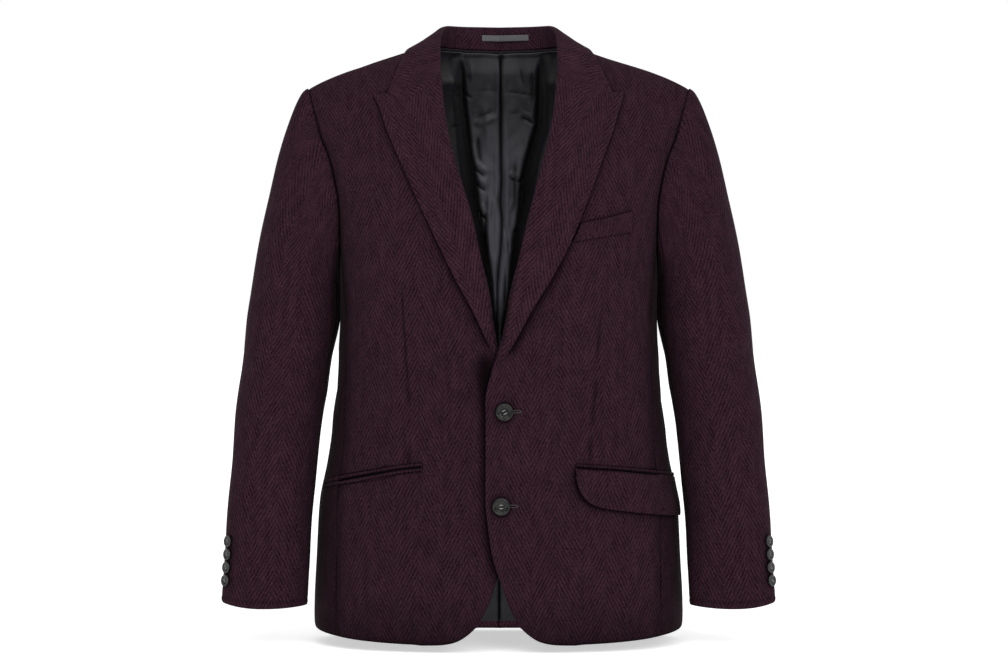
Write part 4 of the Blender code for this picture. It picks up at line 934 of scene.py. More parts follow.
def section(row, size_z, side, k=7):
    """One row of a lapel, from inside the roll over it to the outer edge, in fine steps."""
    p = front_at(row[:, 0], row[:, 1])
    s = np.concatenate(([0], np.cumsum(np.linalg.norm(np.diff(p, axis=0), axis=1))))
    w = s[-1]
    size = min(1.0, max(0.5, w / 50))
    nose = [(d * size, h * (size if h > 0 else 1)) for d, h in NOSE]
    first = nose[-1][0] + 1.8
    he = float(lapel_edge_height(size_z, side))
    crown = 4.0 * min(1, w / 60)
    body = [(first + (w - first) * (q - STOPS[0]) / (1 - STOPS[0]), he + (crown + 2.7 - he if crown + 2.7 > he else 0.3) * (1 - q) ** 1.5) for q in STOPS]
    dh = curve(nose + body, k)
    way = (row[1] - row[0]) / max(s[1], 1e-6)
    u = np.stack((np.interp(dh[:, 0], s, row[:, 0]), np.interp(dh[:, 0], s, row[:, 1])), -1)
    neg = dh[:, 0] < 0
    u[neg] = row[0] + way * dh[neg, :1]
    return u, dh


def lapel(side, word):
    col = 1 if side > 0 else 2
    end = LAPEL_END[side]
    roll = [(float(look(ROLL, col, z)), z) for z in np.linspace(end, -12, 30)]
    edge = [(float(look(LAPEL, col, z)), z) for z in np.linspace(end, GORGE[side][3][1], 26)]
    edge[-1], roll[-1] = GORGE[side][3], GORGE[side][0]
    low = [roll[0], ((roll[0][0] + edge[0][0]) / 2, end), edge[0]]
    v = steps(330, 3.2, dense=((0, 30, 1.5),))
    rows = patch(low, GORGE[side], roll, edge, front_at, np.linspace(0, 1, 60), v)
    P, D = [], []
    for r in rows:
        z = float(r[0, 1])
        u, dh = section(r, z, side, 7)
        t = float(smooth((z - end) / 26))
        h = dh[:, 1] * t - 2.4 * (1 - t)
        p = front_at(u[:, 0], u[:, 1])
        n = normal_at(front_at, u[:, 0], u[:, 1])
        q = p + n * (h + lift_at(u[:, 0], u[:, 1], side))[:, None]
        P.append(q)
        D.append(dh[:, 0])
    P = np.array(P)
    N, _ = grid_normals(P, (0, -1, 0))
    bot, up, lef, rig = edge_space(P)
    a, b = P[..., 0], P[..., 2]
    away = smooth(lef / 30)
    P = P + N * ((waves(a, b, ((0.22, 71, 60, 0.3), (0.16, 47, -25, 1.4))) + creases(a, b, ((70, -70, 96, -210, 6, 16, 0.5), (110, -60, 80, -190, -6, 14, -0.35)))) * away
                 - dip(rig, 0.35, 1.4) + dip(rig - 5.0, 0.12, 2.2) - dip(up, 0.3, 1.4))[..., None]
    # the facing's grain leans out with the lapel's edge
    X, Z = P[..., 0], P[..., 2]
    lean = math.radians(17.5)
    over = along(P, 1) - along(P, 1)[:, -1:] - (X - X[:, -1:])      # cloth taken up by the roll
    gu = (X + over) * math.cos(lean) - Z * math.sin(lean) - (80.5 if side > 0 else 110.3)
    gv = (X + over) * math.sin(lean) + Z * math.cos(lean)
    uv = np.stack((gu * side, gv), -1) * MM
    return shell("lapel_cloth_" + word, mirror(P, side), uv, FOLD, (cloth_fold,), (0, -1, 0), ("lapel_" + word,), mid=True)


COLLAR_T = np.array([[r[0], *r[1], *r[2], *r[3]] for r in COLLAR], float)


def collar_station(s):
    v = [float(look(COLLAR_T, c, s)) for c in range(1, 8)]
    on = back_at if s <= COLLAR_BACK else front_at
    e = np.array(on(v[5], v[6]))
    en = np.array(normal_at(on, v[5], v[6]))
    n = np.array(on(v[0], v[1]))
    nn = np.array(normal_at(on, max(v[0], 0.6), v[1]))
    way = np.array([float(look(COLLAR_T, c, min(s + 0.03, COLLAR_END)) - look(COLLAR_T, c, max(s - 0.03, 0))) for c in (3, 4, 5)])
    return n, nn, np.array(v[2:5]), e, en, unit(way)


def collar_half(side, at):
    g = np.array(GORGE[side][:3], float)
    legs = []
    for k in (0, 1):
        w = g[k + 1] - g[k]
        off = np.array((-w[1], w[0])) / np.linalg.norm(w)
        legs.append(off * np.sign(off[1]))
    # just clear of the lapel: sewn on the first leg, free on the second
    end = np.array((g[0] + legs[0] * 0.55, g[1] + (legs[0] + legs[1]) * 0.5, g[2] + legs[1] * 1.2))
    row = spaced(end, front_at, np.linspace(0, 1, 60))
    u, dh = section(row, -50.0, side, 7)
    last = front_at(u[:, 0], u[:, 1]) + normal_at(front_at, u[:, 0], u[:, 1]) * dh[:, 1:2]
    rows = []
    for s in at:
        n, nn, f, e, en, way = collar_station(s)
        up = f - n - way * ((f - n) @ way)
        high = np.linalg.norm(up)
        up /= high
        out = e - n - way * ((e - n) @ way)
        out -= up * (out @ up)
        out /= np.linalg.norm(out)
        tip = e + en * 2.6
        fall = tip - f
        away = np.cross(np.cross(up, out), fall)
        away *= np.sign(away @ (up + out)) / np.linalg.norm(away)
        pts = [n - nn * 0.9, n * 0.6 + f * 0.4 - out * 1.0, n * 0.25 + f * 0.75 - out * 0.9, f - up * min(2.6, 0.4 * high) - out * 0.7, f - up * 0.5 + out * 0.3,
               f + out * 2.2, f + out * 4.3 - up * 1.4,
               f + fall * 0.18 + away * 1.4 + out * 2.2, f + fall * 0.30 + away * 1.8 + out * 1.4, f + fall * 0.45 + away * 2.0 + out * 0.6, f + fall * 0.60 + away * 1.7,
               f + fall * 0.76 + away * 1.2, f + fall * 0.90 + away * 0.5, tip]
        rows.append(curve(pts, 7))
    rows = np.array(rows)
    # both have the same number of steps round the roll and over the fall
    mend = smooth((np.asarray(at) - 0.52) / (COLLAR_END - 0.52))
    rows += (last - rows[-1])[None] * mend[:, None, None]
    return mirror(rows, side)


def collar():
    at = np.unique(np.concatenate((np.linspace(0, COLLAR_END - 0.03, 64), COLLAR_END - np.array((0, 0.003, 0.007, 0.012, 0.018, 0.024)))))
    right = collar_half(-1, at)[::-1]
    left = collar_half(1, at)
    mid = (left[0] + right[-1]) / 2 * np.array((0, 1, 1))
    left[0] = right[-1] = mid
    P = np.concatenate((right, left[1:]))
    N, _ = grid_normals(P, (0, 0, 1))
    bot, up, lef, rig = edge_space(P)
    P = P + N * (waves(P[..., 0], P[..., 1] + P[..., 2], ((0.18, 63, 20, 0.2), (0.12, 41, 70, 1.0))) - dip(rig, 0.35, 1.4) - dip(bot, 0.3, 1.5) - dip(up, 0.3, 1.5))[..., None]
    a = along(P, 0)
    mid_row = len(right) - 1
    a = a - a[mid_row:mid_row + 1]
    a = np.repeat(a[:, 26:27], P.shape[1], 1) * 0.0 + a[:, 60:61] * 1.0
    b = along(P, 1)
    # the top collar's grain runs down the centre back and so across at the sides; it's a little off the straight
    u, v = a, b
    turn = np.radians(24) * smooth(np.abs(a) / 70) * np.sign(a)
    uv = np.stack((u * np.cos(turn) + v * np.sin(turn), -u * np.sin(turn) * 0.6 + v * np.cos(turn)), -1) * MM
    return shell("collar_cloth", P, uv, FOLD, (cloth_collar,), (0, 0, 1), ("collar",), mid=True)


# ---------------------------------------------------------------- sleeves
def sleeve_ring(deg, z):
    a = np.radians(deg)
    n = look(SLEEVE, 5, z)
    c, s = np.cos(a), np.sin(a)
    x = look(SLEEVE, 1, z) + look(SLEEVE, 3, z) * np.sign(c) * np.abs(c) ** (2 / n)
    y = look(SLEEVE, 2, z) - look(SLEEVE, 4, z) * np.sign(s) * np.abs(s) ** (2 / n)
    return np.stack(np.broadcast_arrays(x, y, z), -1)


def armhole_point(deg):
    deg = np.asarray(deg, float) % 360
    c = np.cos(np.radians(deg))
    z = -125.5 + 109.5 * np.sign(c) * np.abs(c) ** 0.85
    f = front_at(look(ARMHOLE, 1, z), z)
    b = back_at(look(ARMHOLE, 2, z), z)
    return np.where((deg <= 180)[..., None], f, b)


def sleeve_start(deg):
    a = np.radians(deg)
    c, s = np.cos(a), np.sin(a)
    top, low = np.clip(c, 0, 1) ** 1.5, np.clip(-c, 0, 1)
    return np.stack((44 + 30 * top - 41 * low, -14 * s * (1 - low * 0.4), -4 - 18 * top - 22 * low), -1)


def cuff_height(deg):
    a = np.radians(deg)
    c, s = np.cos(a), np.sin(a)
    side = np.where(c > 0, CUFF_OUTER, CUFF_INNER)
    face = np.where(s > 0, CUFF_FRONT, CUFF_BACK)
    return side * c * c + face * s * s


CUT = 0.36


def sleeve_at(deg, t):
    deg, t = np.broadcast_arrays(np.asarray(deg, float), np.asarray(t, float))
    a = armhole_point(deg) + np.array((0.7, 0, 0)) + np.array((0, 0, 0.5)) * np.clip(np.cos(np.radians(deg)), 0, 1)[..., None]
    b = sleeve_ring(deg, SLEEVE_TOP)
    w = np.clip(t / CUT, 0, 1)[..., None]
    down = (sleeve_ring(deg, SLEEVE_TOP - 3) - b) / 3 * (0.9 * np.linalg.norm(b - a, axis=-1))[..., None]
    h = ((2 * w ** 3 - 3 * w ** 2 + 1) * a + (w ** 3 - 2 * w ** 2 + w) * sleeve_start(deg)
         + (-2 * w ** 3 + 3 * w ** 2) * b + (w ** 3 - w ** 2) * down)
    v = np.clip((t - CUT) / (1 - CUT), 0, 1)
    r = sleeve_ring(deg, SLEEVE_TOP + (cuff_height(deg) - SLEEVE_TOP) * v)
    return np.where((t <= CUT)[..., None], h, r)


def sleeve_hint(side):
    def f(p):
        z = np.clip(p[..., 2], -645, -262)
        d = p.copy()
        d[..., 0] -= side * look(SLEEVE, 1, z)
        d[..., 1] -= look(SLEEVE, 2, z)
        d[..., 2] = 0
        return d
    return f


# folds of the sleeves: from (degrees, height), to (degrees, height), bow, width, height; degrees count 0.95 mm
SLEEVE_FOLDS = {
    1: ((60, -300, 130, -360, 5, 14, -1.2), (40, -330, 120, -400, 6, 15, 1.0), (100, -392, 150, -440, 4, 12, -1.6),
        (70, -420, 140, -466, 5, 13, 1.0), (60, -470, 130, -500, 4, 12, -0.8), (20, -120, 30, -330, 6, 18, -0.8),
        (70, -100, 84, -260, 5, 16, 0.8), (110, -180, 118, -300, 4, 12, -1.2), (-60, -200, -40, -420, 6, 18, -1.2),
        (-90, -330, -30, -400, 6, 15, 1.4), (-100, -400, -40, -450, 5, 14, -1.4), (40, -520, 46, -630, 3, 16, 0.6),
        (90, -540, 96, -636, 3, 14, -0.6), (220, -320, 170, -400, 6, 14, 1.4), (230, -380, 180, -440, 5, 13, -1.2)),
    -1: ((66, -310, 128, -366, 5, 14, -1.1), (46, -340, 118, -412, 6, 15, 0.9), (96, -400, 150, -452, 4, 12, -1.4),
         (72, -432, 136, -474, 5, 13, 0.9), (26, -110, 36, -320, 6, 18, -0.9), (76, -110, 88, -250, 5, 16, 0.8),
         (112, -190, 120, -300, 4, 12, -1.1), (-58, -210, -44, -430, 6, 18, -1.1), (-88, -340, -34, -410, 6, 15, 1.3),
         (-96, -410, -44, -462, 5, 14, -1.3), (44, -530, 48, -632, 3, 16, 0.6), (216, -330, 172, -410, 6, 14, 1.3))}


FLAT_DEG = np.arange(-132.0, 401.0, 4.0)
FLAT_T = np.linspace(0, 1, 81)
FLAT_P = sleeve_at(FLAT_DEG[None, :], FLAT_T[:, None])
FLAT_U = along(FLAT_P, 1)
FLAT_U = FLAT_U[:, np.argmin(np.abs(FLAT_DEG - 90))][:, None] - FLAT_U      # from the front, towards the outer side
FLAT_V = along(FLAT_P, 0)
FLAT_V = FLAT_V[-1:] - FLAT_V                                               # up from the cuff


def sleeve_flat(deg, t):
    """The sleeve's cloth laid flat, in mm: round from its front line, and up from the cuff."""
    out = np.empty(deg.shape + (2,))
    w = np.asarray(t) * (len(FLAT_T) - 1)
    i = np.minimum(w.astype(int), len(FLAT_T) - 2)
    for r in range(len(deg)):
        f = w[r] - i[r]
        for c, m in enumerate((FLAT_U, FLAT_V)):
            out[r, :, c] = np.interp(deg[r], FLAT_DEG, m[i[r]] * (1 - f) + m[i[r] + 1] * f)
    return out


def sleeve_part(side, word, kind):
    first = (lambda t: look(SLEEVE_SEAM, 2, t) - 360 + 0.6) if kind == "top" else (lambda t: look(SLEEVE_SEAM, 1, t) + 0.6)
    last = (lambda t: look(SLEEVE_SEAM, 1, t) - 0.6) if kind == "top" else (lambda t: look(SLEEVE_SEAM, 2, t) - 0.6)
    t = steps(640, CELL * (1.0 if kind == "top" else 1.15), dense=(((625, 640, 0.8),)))
    k = steps(205 if kind == "top" else 150, CELL * (1.0 if kind == "top" else 1.15))
    # the cap's cloth is crowded into the first rows
    T, K = t[:, None], k[None, :]
    deg = first(T) * (1 - K) + last(T) * K
    P0 = sleeve_at(deg, np.broadcast_to(T, deg.shape))
    N, _ = grid_normals(P0, sleeve_hint(1))
    bot, up, lef, rig = edge_space(P0)      # bot: from the armhole, up: from the cuff
    a, z = deg, P0[..., 2]
    # dg below counts degrees; folds are set in degrees across
    d = creases(a * 0.95, z, tuple((r[0] * 0.95, r[1], r[2] * 0.95, r[3], r[4], r[5], r[6]) for r in SLEEVE_FOLDS[side])) * smooth(bot / 60) * smooth(up / 40)
    if kind == "under":
        d = d * 0.8
    d = d + 2.0 * np.exp(-((z + 247) / 17) ** 2) * np.exp(-((deg - 185) / 55) ** 2)
    d = d + waves(a, z, ((0.35, 97, 66, 0.6), (0.28, 61, 20, 2.1), (0.2, 141, 85, 0.9))) * smooth(bot / 40)
    # eased sleeve head: faint puckers just below the armhole seam, over a soft roll
    head = np.clip(np.cos(np.radians(deg)), 0, 1)
    d = d + head * (0.15 * np.exp(-((bot - 9) / 7) ** 2) + 0.10 * np.sin(np.radians(deg) * 34) * np.exp(-(bot / 13) ** 2))
    d = d - dip(bot, 1.0, 1.7) * (1 - 0.75 * head) - dip(lef, 0.7, 1.6) - dip(rig, 0.7, 1.6) - dip(lef, 0.3, 6) - dip(rig, 0.3, 6)
    d = d - dip(up, 0.5, 1.6) - dip(up - 6.2, 0.34, 0.8) - dip(up - 8.4, 0.28, 0.8) + dip(up - 3.4, 0.12, 1.8)
    P = P0 + N * d[..., None]
    uv = sleeve_flat(deg, t)
    if kind == "under":
        # behind the armhole the grain stays upright
        i, j = np.unravel_index(np.argmin(np.abs(deg - 262) + np.abs(bot - 330)), deg.shape)
        flat = P0[..., (0, 2)] * (-1, 1)
        flat = flat + (uv[i, j] - flat[i, j])
        w = (smooth((deg - 190) / 45) * (1 - smooth((bot - 230) / 200)))[..., None]
        uv = uv * (1 - w) + flat * w
    uv = np.stack((uv[..., 0] + (13.5 if side > 0 else -16.0), uv[..., 1]), -1)
    # the first rows go on under the edge of the armhole
    a0 = np.radians(deg[0])
    out = np.stack((np.zeros_like(a0), -np.sin(a0), np.cos(a0)), -1)
    rows, marks = [], []
    for go, low in ((6.5, 2.9), (3.6, 2.6), (1.7, 1.9), (0.8, 1.3)):
        rows.append(P0[0] - np.array((go, 0, 0)) - out * low)
        marks.append(uv[0] + np.array((0, go + 0.5)))
    P = np.concatenate((np.array(rows), P))
    uv = np.concatenate((np.array(marks), uv)) * MM
    # painted shade on the sleeve, kept in line: dark along the armhole seam, more so towards the underarm, in the
    # cuff's stitched grooves, on the inner side by the armhole's valley, and full on the rows tucked under the
    # armhole's edge
    line = (0.30 + 0.65 * smooth((-70 - z) / 90)) * np.exp(-(bot / 1.3) ** 2) + 0.35 * np.exp(-((up - 6.2) / 0.7) ** 2) + 0.3 * np.exp(-((up - 8.4) / 0.7) ** 2)
    line = line + (0.42 if side > 0 else 0.12) * np.exp(-((z + 255) / 42) ** 2) * np.exp(-((deg - 172) / 34) ** 2)
    line = np.concatenate((np.ones((4, line.shape[1])), line))
    if side < 0:
        uv[..., 0] *= -1
    return shell(kind + "_sleeve_cloth_" + word, mirror(P, side), uv, CLOTH, (cloth_sleeve, satin_sleeve), sleeve_hint(side), (kind + "_sleeve_" + word,), line=line)


# ---------------------------------------------------------------- build the cloth
OB = {}
for side, word in ((1, "left"), (-1, "right")):
    OB["front_" + word] = front_panel(side, word)
    OB["back_" + word] = back_panel(side, word)
    OB["side_" + word] = side_panel(side, word)
    OB["lining_back_" + word] = back_lining(side, word)
    OB["lining_side_" + word] = side_lining(side, word)
    OB["lapel_" + word] = lapel(side, word)
    OB["top_" + word] = sleeve_part(side, word, "top")
    OB["under_" + word] = sleeve_part(side, word, "under")
OB["collar"] = collar()


# ---------------------------------------------------------------- pockets
def ring_line(pts):
    return [(float(q_front(x, z)), z) for x, z in pts]


def lay_on(name, g, surface, side, under, height, wall, node, want, uv0=(0, 0), turn=0.0, mid=False):
    P0 = mirror(surface(g[..., 0], g[..., 1]), side)
    kw = {"eu": 0.002} if surface is ring_at else {}
    N = mirror(normal_at(surface, g[..., 0], g[..., 1], **kw), side)
    P = laid([OB[k] for k in under], P0, N, height + wall)
    uv = flat_uv(mirror(P, side), uv0[0], uv0[1], turn)
    if side < 0:
        uv[..., 0] *= -1
    return shell(name, P, uv, wall, (cloth,), want, (node,), narrow=True)


def jet(name, mouth, lo, hi, side, under, node, gape=0.0):
    m = curve(np.array(mouth), 6)
    m[:, 0] = np.clip(m[:, 0], mouth[0][0], mouth[-1][0])
    w = np.linspace(0, 1, len(m))
    open_ = gape * np.exp(-((w - 0.55) / 0.22) ** 2)
    low = ring_line([(x, z + lo + o) for (x, z), o in zip(m, open_)])
    high = ring_line([(x, z + hi + o) for (x, z), o in zip(m, open_)])
    g = patch(low, high, [low[0], high[0]], [low[-1], high[-1]], ring_at, steps(126, 3.5, ends=(True, True)), np.linspace(0, 1, 9))
    v = np.linspace(0, 1, 9)[:, None]
    return lay_on(name, g, ring_at, side, under, 0.25 + 0.75 * np.sin(np.pi * v) + 0.0 * g[..., 0], 0.9, node, from_axis(), (40, 4))


right_u, left_u = ("front_right", "side_right"), ("front_left", "side_left")
jet("jet_cloth_right_upper", POCKET_RIGHT, 0.35, 4.3, -1, right_u, "hip_jet_right_upper")
jet("jet_cloth_right_lower", POCKET_RIGHT, -4.2, -0.35, -1, right_u, "hip_jet_right_lower", gape=-1.5)
OB["jet_left"] = jet("jet_cloth_left", POCKET_LEFT, 0.3, 4.3, 1, left_u, "hip_jet_left")

flap_low = curve([(float(q_front(x, z)), z) for x, z in ((94.4, -500.7), (102.2, -510.8), (113.0, -517.4), (127.8, -521.4), (146, -524.4),
                                                     (170, -527.8), (199.0, -531.8), (217.0, -534.6))], 8)
flap_left = curve([(float(q_front(x, z)), z) for x, z in ((94.4, -500.7), (92.2, -490), (91.7, -482), (92.0, -474.4))], 8)
flap_high = curve(ring_line([(x, z - 0.8) for x, z in POCKET_LEFT]), 8)
flap_high[0] = flap_left[-1]
g = patch(flap_low, flap_high, flap_left, [flap_low[-1], flap_high[-1]], ring_at, steps(130, 3.6), steps(52, 3.2))
P0 = ring_at(g[..., 0], g[..., 1])
N0 = normal_at(ring_at, g[..., 0], g[..., 1], eu=0.002)
fb, fu, fl, fr = edge_space(P0)
h = 0.6 + 2.1 * smooth(fu / 46) + 3.6 * np.exp(-((fl + fb * 1.0) / 30) ** 2) + waves(P0[..., 0], g[..., 1], ((0.3, 53, 15, 0.4), (0.2, 37, 80, 1.0)))
P = laid([OB["front_left"], OB["side_left"]], P0, N0, h + 1.8)
N1, _ = grid_normals(P, from_axis())
P = P - N1 * (dip(fb, 0.4, 1.5) + dip(fl, 0.4, 1.5) + dip(fr, 0.4, 1.5))[..., None]
uv = np.stack((P0[..., 0] * 0 + along(P0, 1) + 92 + 17.8, along(P0, 0) + P0[:1, :, 2]), -1) * MM
OB["flap"] = shell("flap_cloth_left", P, uv, 1.9, (cloth, satin), from_axis(), ("hip_flap_left",))

# breast welt, its upper edge a little open
w_low, w_high = [(87.5, -208.2), (104, -205.0), (120, -202.2), (157.4, -195.0)], [(97.0, -186.8), (112, -183.2), (128, -179.6), (158.0, -171.0)]
g = patch(curve(w_low, 6), curve(w_high, 6), [w_low[0], w_high[0]], [w_low[-1], w_high[-1]], front_at, steps(70, 3.4), steps(22, 2.4))
P0 = front_at(g[..., 0], g[..., 1])
N0 = normal_at(front_at, g[..., 0], g[..., 1])
fb, fu, fl, fr = edge_space(P0)
h = 0.35 + 0.9 * smooth(fb / 20) + 0.45 * np.exp(-((fl - 34) / 16) ** 2) * smooth(fb / 18)
P = laid([OB["front_left"]], P0, N0, h + 1.2)
N1, _ = grid_normals(P, (0, -1, 0))
P = P - N1 * (dip(fb, 0.35, 1.4) + dip(fr, 0.4, 1.4) + dip(fu, 0.3, 1.2))[..., None]
uv = flat_uv(P0, 18, 6, 9)
shell("breast_welt_cloth", P, uv, 1.2, (cloth,), (0, -1, 0), ("breast_welt",), narrow=True)

# ---------------------------------------------------------------- hanging loop
xs, zs = np.linspace(-20.6, 36.6, 40), np.linspace(49.2, 56.2, 7)
P0 = np.array([[(x, 55.0, z) for x in xs] for z in zs])
N0 = np.broadcast_to((0.0, -1.0, 0.0), P0.shape)
bow = 0.35 + 1.2 * (1 - ((P0[..., 0] - 8) / 28.6) ** 2)
P = laid([OB["collar"]], P0, N0, bow + 0.7)
P[..., 1] = P[3:4, :, 1] + (P[..., 1] - P[3:4, :, 1]) * 0.4
shell("hanger_tape", P, flat_uv(P), 0.7, (tape,), (0, -1, 0), ("hanger_loop",), slot="tape")


# ---------------------------------------------------------------- small round things
def plain(name, verts, faces, mat, nodes=(), smooth_=True):
    mesh = bpy.data.meshes.new(name)
    mesh.from_pydata([tuple(v) for v in verts], [], faces)
    mesh.materials.append(mat)
    if smooth_:
        mesh.shade_smooth()
    mesh.update()
    ob = bpy.data.objects.new(name, mesh)
    bpy.context.scene.collection.objects.link(ob)
    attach(ob, "root")
    if nodes:
        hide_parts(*nodes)
    return ob


def tube(path, r, sides=10, closed=False, taper=False):
    """Vertices and faces of a rod along points in mm, with rounded ends."""
    p = np.asarray(path, float)
    n = len(p)
    t = unit(np.gradient(p, axis=0)) if not closed else unit(np.roll(p, -1, 0) - np.roll(p, 1, 0))
    ref = np.array((0.0, -1.0, 0.0)) if abs(t[0] @ (0, -1, 0)) < 0.9 else np.array((0.0, 0.0, 1.0))
    V, F = [], []
    a = unit(np.cross(t[0], ref))
    rings = []
    for i in range(n):
        a = unit(a - t[i] * (a @ t[i]))
        b = np.cross(t[i], a)
        k = 1.0
        if taper and not closed:
            e = min(i, n - 1 - i) / 2.0
            k = math.sqrt(max(0.0, 1 - max(0.0, 1 - e) ** 2)) if e < 1 else 1.0
            k = max(k, 0.12)
        ang = np.linspace(0, 2 * np.pi, sides, endpoint=False)[:, None]
        rings.append(len(V))
        V += list(p[i] + (np.cos(ang) * a + np.sin(ang) * b) * r * k)
    m = n if closed else n - 1
    for i in range(m):
        r0, r1 = rings[i], rings[(i + 1) % n]
        for j in range(sides):
            F.append((r0 + j, r0 + (j + 1) % sides, r1 + (j + 1) % sides, r1 + j))
    if not closed:
        F.append(tuple(rings[0] + j for j in range(sides))[::-1])
        F.append(tuple(rings[-1] + j for j in range(sides)))
    return V, F


def frame_of(n):
    z = unit(np.asarray(n, float))
    x = unit(np.cross((0.0, 0.0, 1.0), z))
    y = np.cross(z, x)
    return x, y, z


def button(name, node, place, n, dia, high, mat, tilt=0.0, turn=0.0):
    """A four-hole button with a raised round rim over a shallow dish, held by bars of thread on a short shank."""
    x, y, z = frame_of(n)
    c, s = math.cos(turn), math.sin(turn)
    x, y = x * c + y * s, y * c - x * s
    r = dia / 2
    # radius, height; the holes are separate cups sunk in the flat of the dish
    prof = [(r * 0.10, 0.50), (r * 0.20, 0.50), (r * 0.30, 0.50), (r * 0.40, 0.50), (r * 0.50, 0.51), (r * 0.585, 0.54), (r * 0.645, 0.62), (r * 0.69, 0.76), (r * 0.735, 0.89),
            (r * 0.79, 0.97), (r * 0.845, 1.0), (r * 0.90, 0.975), (r * 0.945, 0.90), (r * 0.98, 0.78), (r, 0.62), (r * 0.99, 0.46),
            (r * 0.95, 0.28), (r * 0.88, 0.13), (r * 0.78, 0.04), (r * 0.60, 0.0), (r * 0.30, 0.0)]
    sides = 48
    V, F = [], []
    hole_r, hole_at = dia * 0.050, dia * 0.095
    for k, (a, hgt) in enumerate(prof):
        for j in range(sides):
            t = 2 * math.pi * j / sides
            V.append((a * math.cos(t), a * math.sin(t), hgt * high))
    top = len(V)
    V += [(0, 0, 0.50 * high), (0, 0, 0)]
    for k in range(len(prof) - 1):
        for j in range(sides):
            a, b = k * sides + j, k * sides + (j + 1) % sides
            F.append((a, a + sides, b + sides, b))
    for j in range(sides):
        F.append((top, j, (j + 1) % sides))
        e = (len(prof) - 1) * sides
        F.append((top + 1, e + (j + 1) % sides, e + j))
    V = [tuple((np.asarray(place) + x * p[0] + y * p[1] + z * p[2]) * MM) for p in V]
    ob = plain(name, V, F, mat, (node,))
    # holes: small sunk cups in the near-black slit material, painted shade
    for i, (hx, hy) in enumerate(((1, 1), (1, -1), (-1, 1), (-1, -1))):
        V, F = [], []
        cup = ((hole_r * 1.25, 0.512), (hole_r * 1.05, 0.516), (hole_r * 0.9, 0.49), (hole_r * 0.8, 0.40), (hole_r * 0.4, 0.38))
        for a, hgt in cup:
            for j in range(14):
                t = 2 * math.pi * j / 14
                V.append((hx * hole_at + a * math.cos(t), hy * hole_at + a * math.sin(t), hgt * high + 0.02))
        for k in range(len(cup) - 1):
            for j in range(14):
                a, b = k * 14 + j, k * 14 + (j + 1) % 14
                F.append((a, b, b + 14, a + 14))
        F.append(tuple(range((len(cup) - 1) * 14, len(cup) * 14)))
        V = [tuple((np.asarray(place) + x * p[0] + y * p[1] + z * p[2]) * MM) for p in V]
        plain("%s_hole_%d" % (name, i + 1), V, F, slit)
    # thread: two bars side by side, and the shank under the button
    V, F = [], []
    def add(path, rad):
        v, f = tube(path, rad, 8, taper=True)
        k = len(V)
        V.extend(v)
        F.extend([tuple(k + q for q in face) for face in f])
    for sgn in (1, -1):
        for o in (-0.32, 0.32):
            add([(t * hole_at * 1.25, sgn * hole_at + o * 0.9, 0.50 * high + 0.25 + 0.42 * math.cos(t * 1.25)) for t in np.linspace(-1, 1, 9)], 0.30)
    add([(0, 0, -1.9), (0, 0, -1.2), (0, 0, -0.4), (0, 0, 0.2)], dia * 0.11)
    V = [tuple((np.asarray(place) + x * p[0] + y * p[1] + z * p[2]) * MM) for p in V]
    tob = plain(name + "_thread", V, F, thread)
    return ob


def buttonhole(name, cx, cz, half, side=1):
    """A worked buttonhole: thread wrapped round a slit."""
    pts = []
    for t in np.linspace(0, 2 * np.pi, 44, endpoint=False):
        a, b = math.cos(t), math.sin(t)
        pts.append((cx + math.copysign(abs(a) ** 0.55, a) * half, cz + math.copysign(abs(b) ** 0.75, b) * 1.25))
    g = np.array(pts)
    P0 = front_at(g[:, 0], g[:, 1])
    N0 = normal_at(front_at, g[:, 0], g[:, 1])
    P = laid([OB["front_left"]], P0, N0, 0.20)
    V, F = tube(P, 0.62, 8, closed=True)
    plain(name, np.array(V) * MM, F, thread_dark)
    # the slit: a thin rod in the near-black slit material, painted shade
    xs = np.linspace(cx - half * 0.9, cx + half * 0.9, 12)
    g = np.stack((xs, np.full_like(xs, cz)), -1)
    P0 = front_at(g[:, 0], g[:, 1])
    N0 = normal_at(front_at, g[:, 0], g[:, 1])
    P = laid([OB["front_left"]], P0, N0, -0.15)
    V, F = tube(P, 0.50, 6, taper=True)
    plain(name + "_slit", np.array(V) * MM, F, slit)



for word, x, z, tn in (("upper", 7.2, -407.5, 0.5), ("lower", 3.3, -518.4, 0.02)):
    n = normal_at(front_at, x, z)
    p = laid([OB["front_left"]], front_at(x, z)[None], n[None], 1.5)[0]
    n = unit(n + (np.array((-0.03, 0, 0.10)) if word == "upper" else np.array((0.02, 0, -0.04))))
    button("button_" + word, "front_button_" + word, p, n, 20.8, 3.4, horn, turn=tn)
    buttonhole("buttonhole_" + word, x + 12.2, z + 0.6, 7.2)
for side, word in ((1, "left"), (-1, "right")):
    for i, z in enumerate((-565.0, -580.6, -596.2, -611.8)):
        deg = 30.0
        p = sleeve_ring(deg, z)
        a, b = sleeve_ring(deg + 2, z) - sleeve_ring(deg - 2, z), sleeve_ring(deg, z + 4) - sleeve_ring(deg, z - 4)
        n = np.cross(a, b)
        n = unit(n * np.sign(n[0]) * np.array((side, 1, 1)))
        p = laid([OB["top_" + word]], mirror(p, side)[None], n[None], 1.3)[0]
        button("cuffbutton_%s_%d" % (word, i + 1), "cuff_button_%s_%d" % (word, i + 1), p, n, 14.0, 2.8, horn_cuff, turn=0.3 * i)

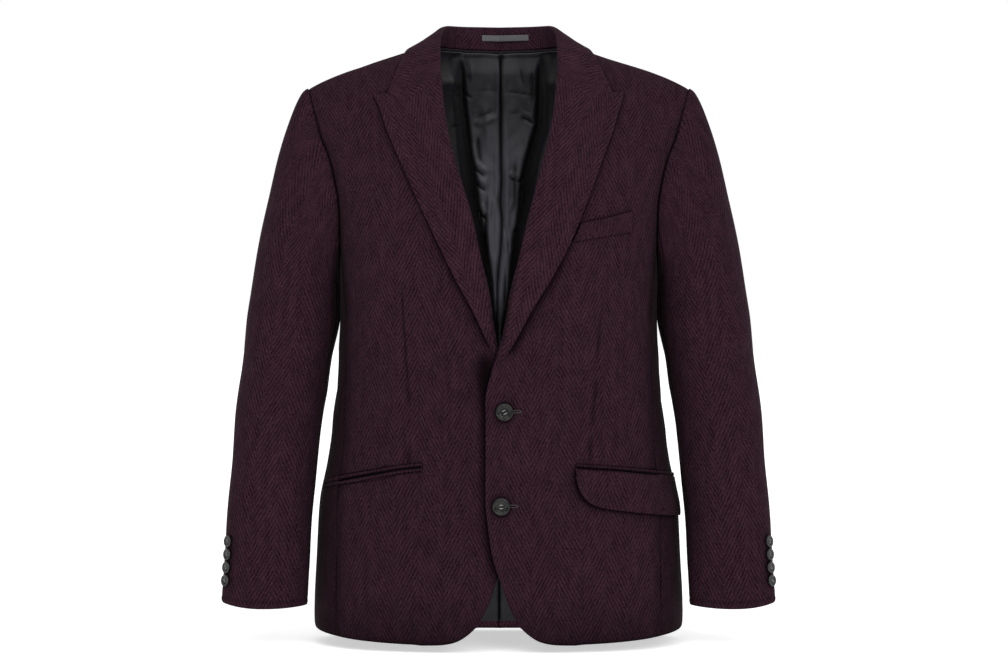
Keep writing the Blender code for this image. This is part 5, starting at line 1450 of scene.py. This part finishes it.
# ---------------------------------------------------------------- floor, light, camera
k = Tree("studio_floor")
k.put(k.b, "Base Color", k.mix(k.noise(k.obj(), 3.0, 2.0), (0.88, 0.88, 0.88, 1), (0.90, 0.90, 0.90, 1)))
k.b.inputs["Roughness"].default_value = 0.9
k.b.inputs["Specular IOR Level"].default_value = 0.0
k.b.inputs["Emission Color"].default_value = (1, 1, 1, 1)
k.b.inputs["Emission Strength"].default_value = 0.54
FLOOR = -0.6905
WORLD = 0.30
mesh = bpy.data.meshes.new("floor")
mesh.from_pydata([(-30, -30, FLOOR), (30, -30, FLOOR), (30, 60, FLOOR), (-30, 60, FLOOR)], [], [(0, 1, 2, 3)])
mesh.materials.append(k.m)
floor = bpy.data.objects.new("floor", mesh)
bpy.context.scene.collection.objects.link(floor)

# a white studio: bright behind the piece, dimmer round the sides and above
world = bpy.data.worlds.new("studio")
bpy.context.scene.world = world
world.use_nodes = True
wt = world.node_tree
coord = wt.nodes.new("ShaderNodeTexCoord")
parts = wt.nodes.new("ShaderNodeSeparateXYZ")
wt.links.new(coord.outputs["Generated"], parts.inputs[0])
ramp = wt.nodes.new("ShaderNodeMapRange")
ramp.interpolation_type = "SMOOTHSTEP"
ramp.inputs["From Min"].default_value = 0.55
ramp.inputs["From Max"].default_value = 0.93
ramp.inputs["To Min"].default_value = WORLD
ramp.inputs["To Max"].default_value = 1.0
wt.links.new(parts.outputs[1], ramp.inputs["Value"])
wt.links.new(ramp.outputs[0], wt.nodes["Background"].inputs["Strength"])
wt.nodes["Background"].inputs["Color"].default_value = (1, 1, 1, 1)


def sun(name, way, strength, spread):
    light = bpy.data.lights.new(name, "SUN")
    light.energy = strength
    light.angle = math.radians(spread)
    ob = bpy.data.objects.new(name, light)
    ob.rotation_mode = "QUATERNION"
    ob.rotation_quaternion = Vector(way).to_track_quat("Z", "Y")
    bpy.context.scene.collection.objects.link(ob)
    return ob


sun("key", (0.42, -1.0, 0.62), 1.25, 34)
soft = bpy.data.lights.new("high_front", "AREA")
soft.shape, soft.size, soft.energy = "DISK", 1.1, 9.5
lamp = bpy.data.objects.new("high_front", soft)
lamp.location = (-0.42, -1.55, 0.75)
lamp.rotation_mode = "QUATERNION"
lamp.rotation_quaternion = (Vector(lamp.location) - Vector((0, 0, -0.25))).to_track_quat("Z", "Y")
bpy.context.scene.collection.objects.link(lamp)
sun("overhead", (0.0, -0.1, 1.0), 0.8, 80)
sun("behind", (0.25, 1.0, 0.45), 0.35, 70)

cam = bpy.data.cameras.new("camera")
cam.lens = 87.8
cam.sensor_width = 36
cam.clip_start, cam.clip_end = 0.05, 200
camera = bpy.data.objects.new("camera", cam)
camera.location = (0.0066, -3.0, -0.3184)
camera.rotation_euler = (math.radians(90), 0, 0)
bpy.context.scene.collection.objects.link(camera)
bpy.context.scene.camera = camera
bpy.context.scene.view_settings.view_transform = "Standard"
bpy.context.scene.view_settings.look = "None"
bpy.context.scene.view_settings.exposure = 0.0
bpy.context.scene.view_settings.gamma = 1.0

bpy.context.view_layer.update()
for name in sorted(CUTS):
    print("CUT", name, *CUTS[name])
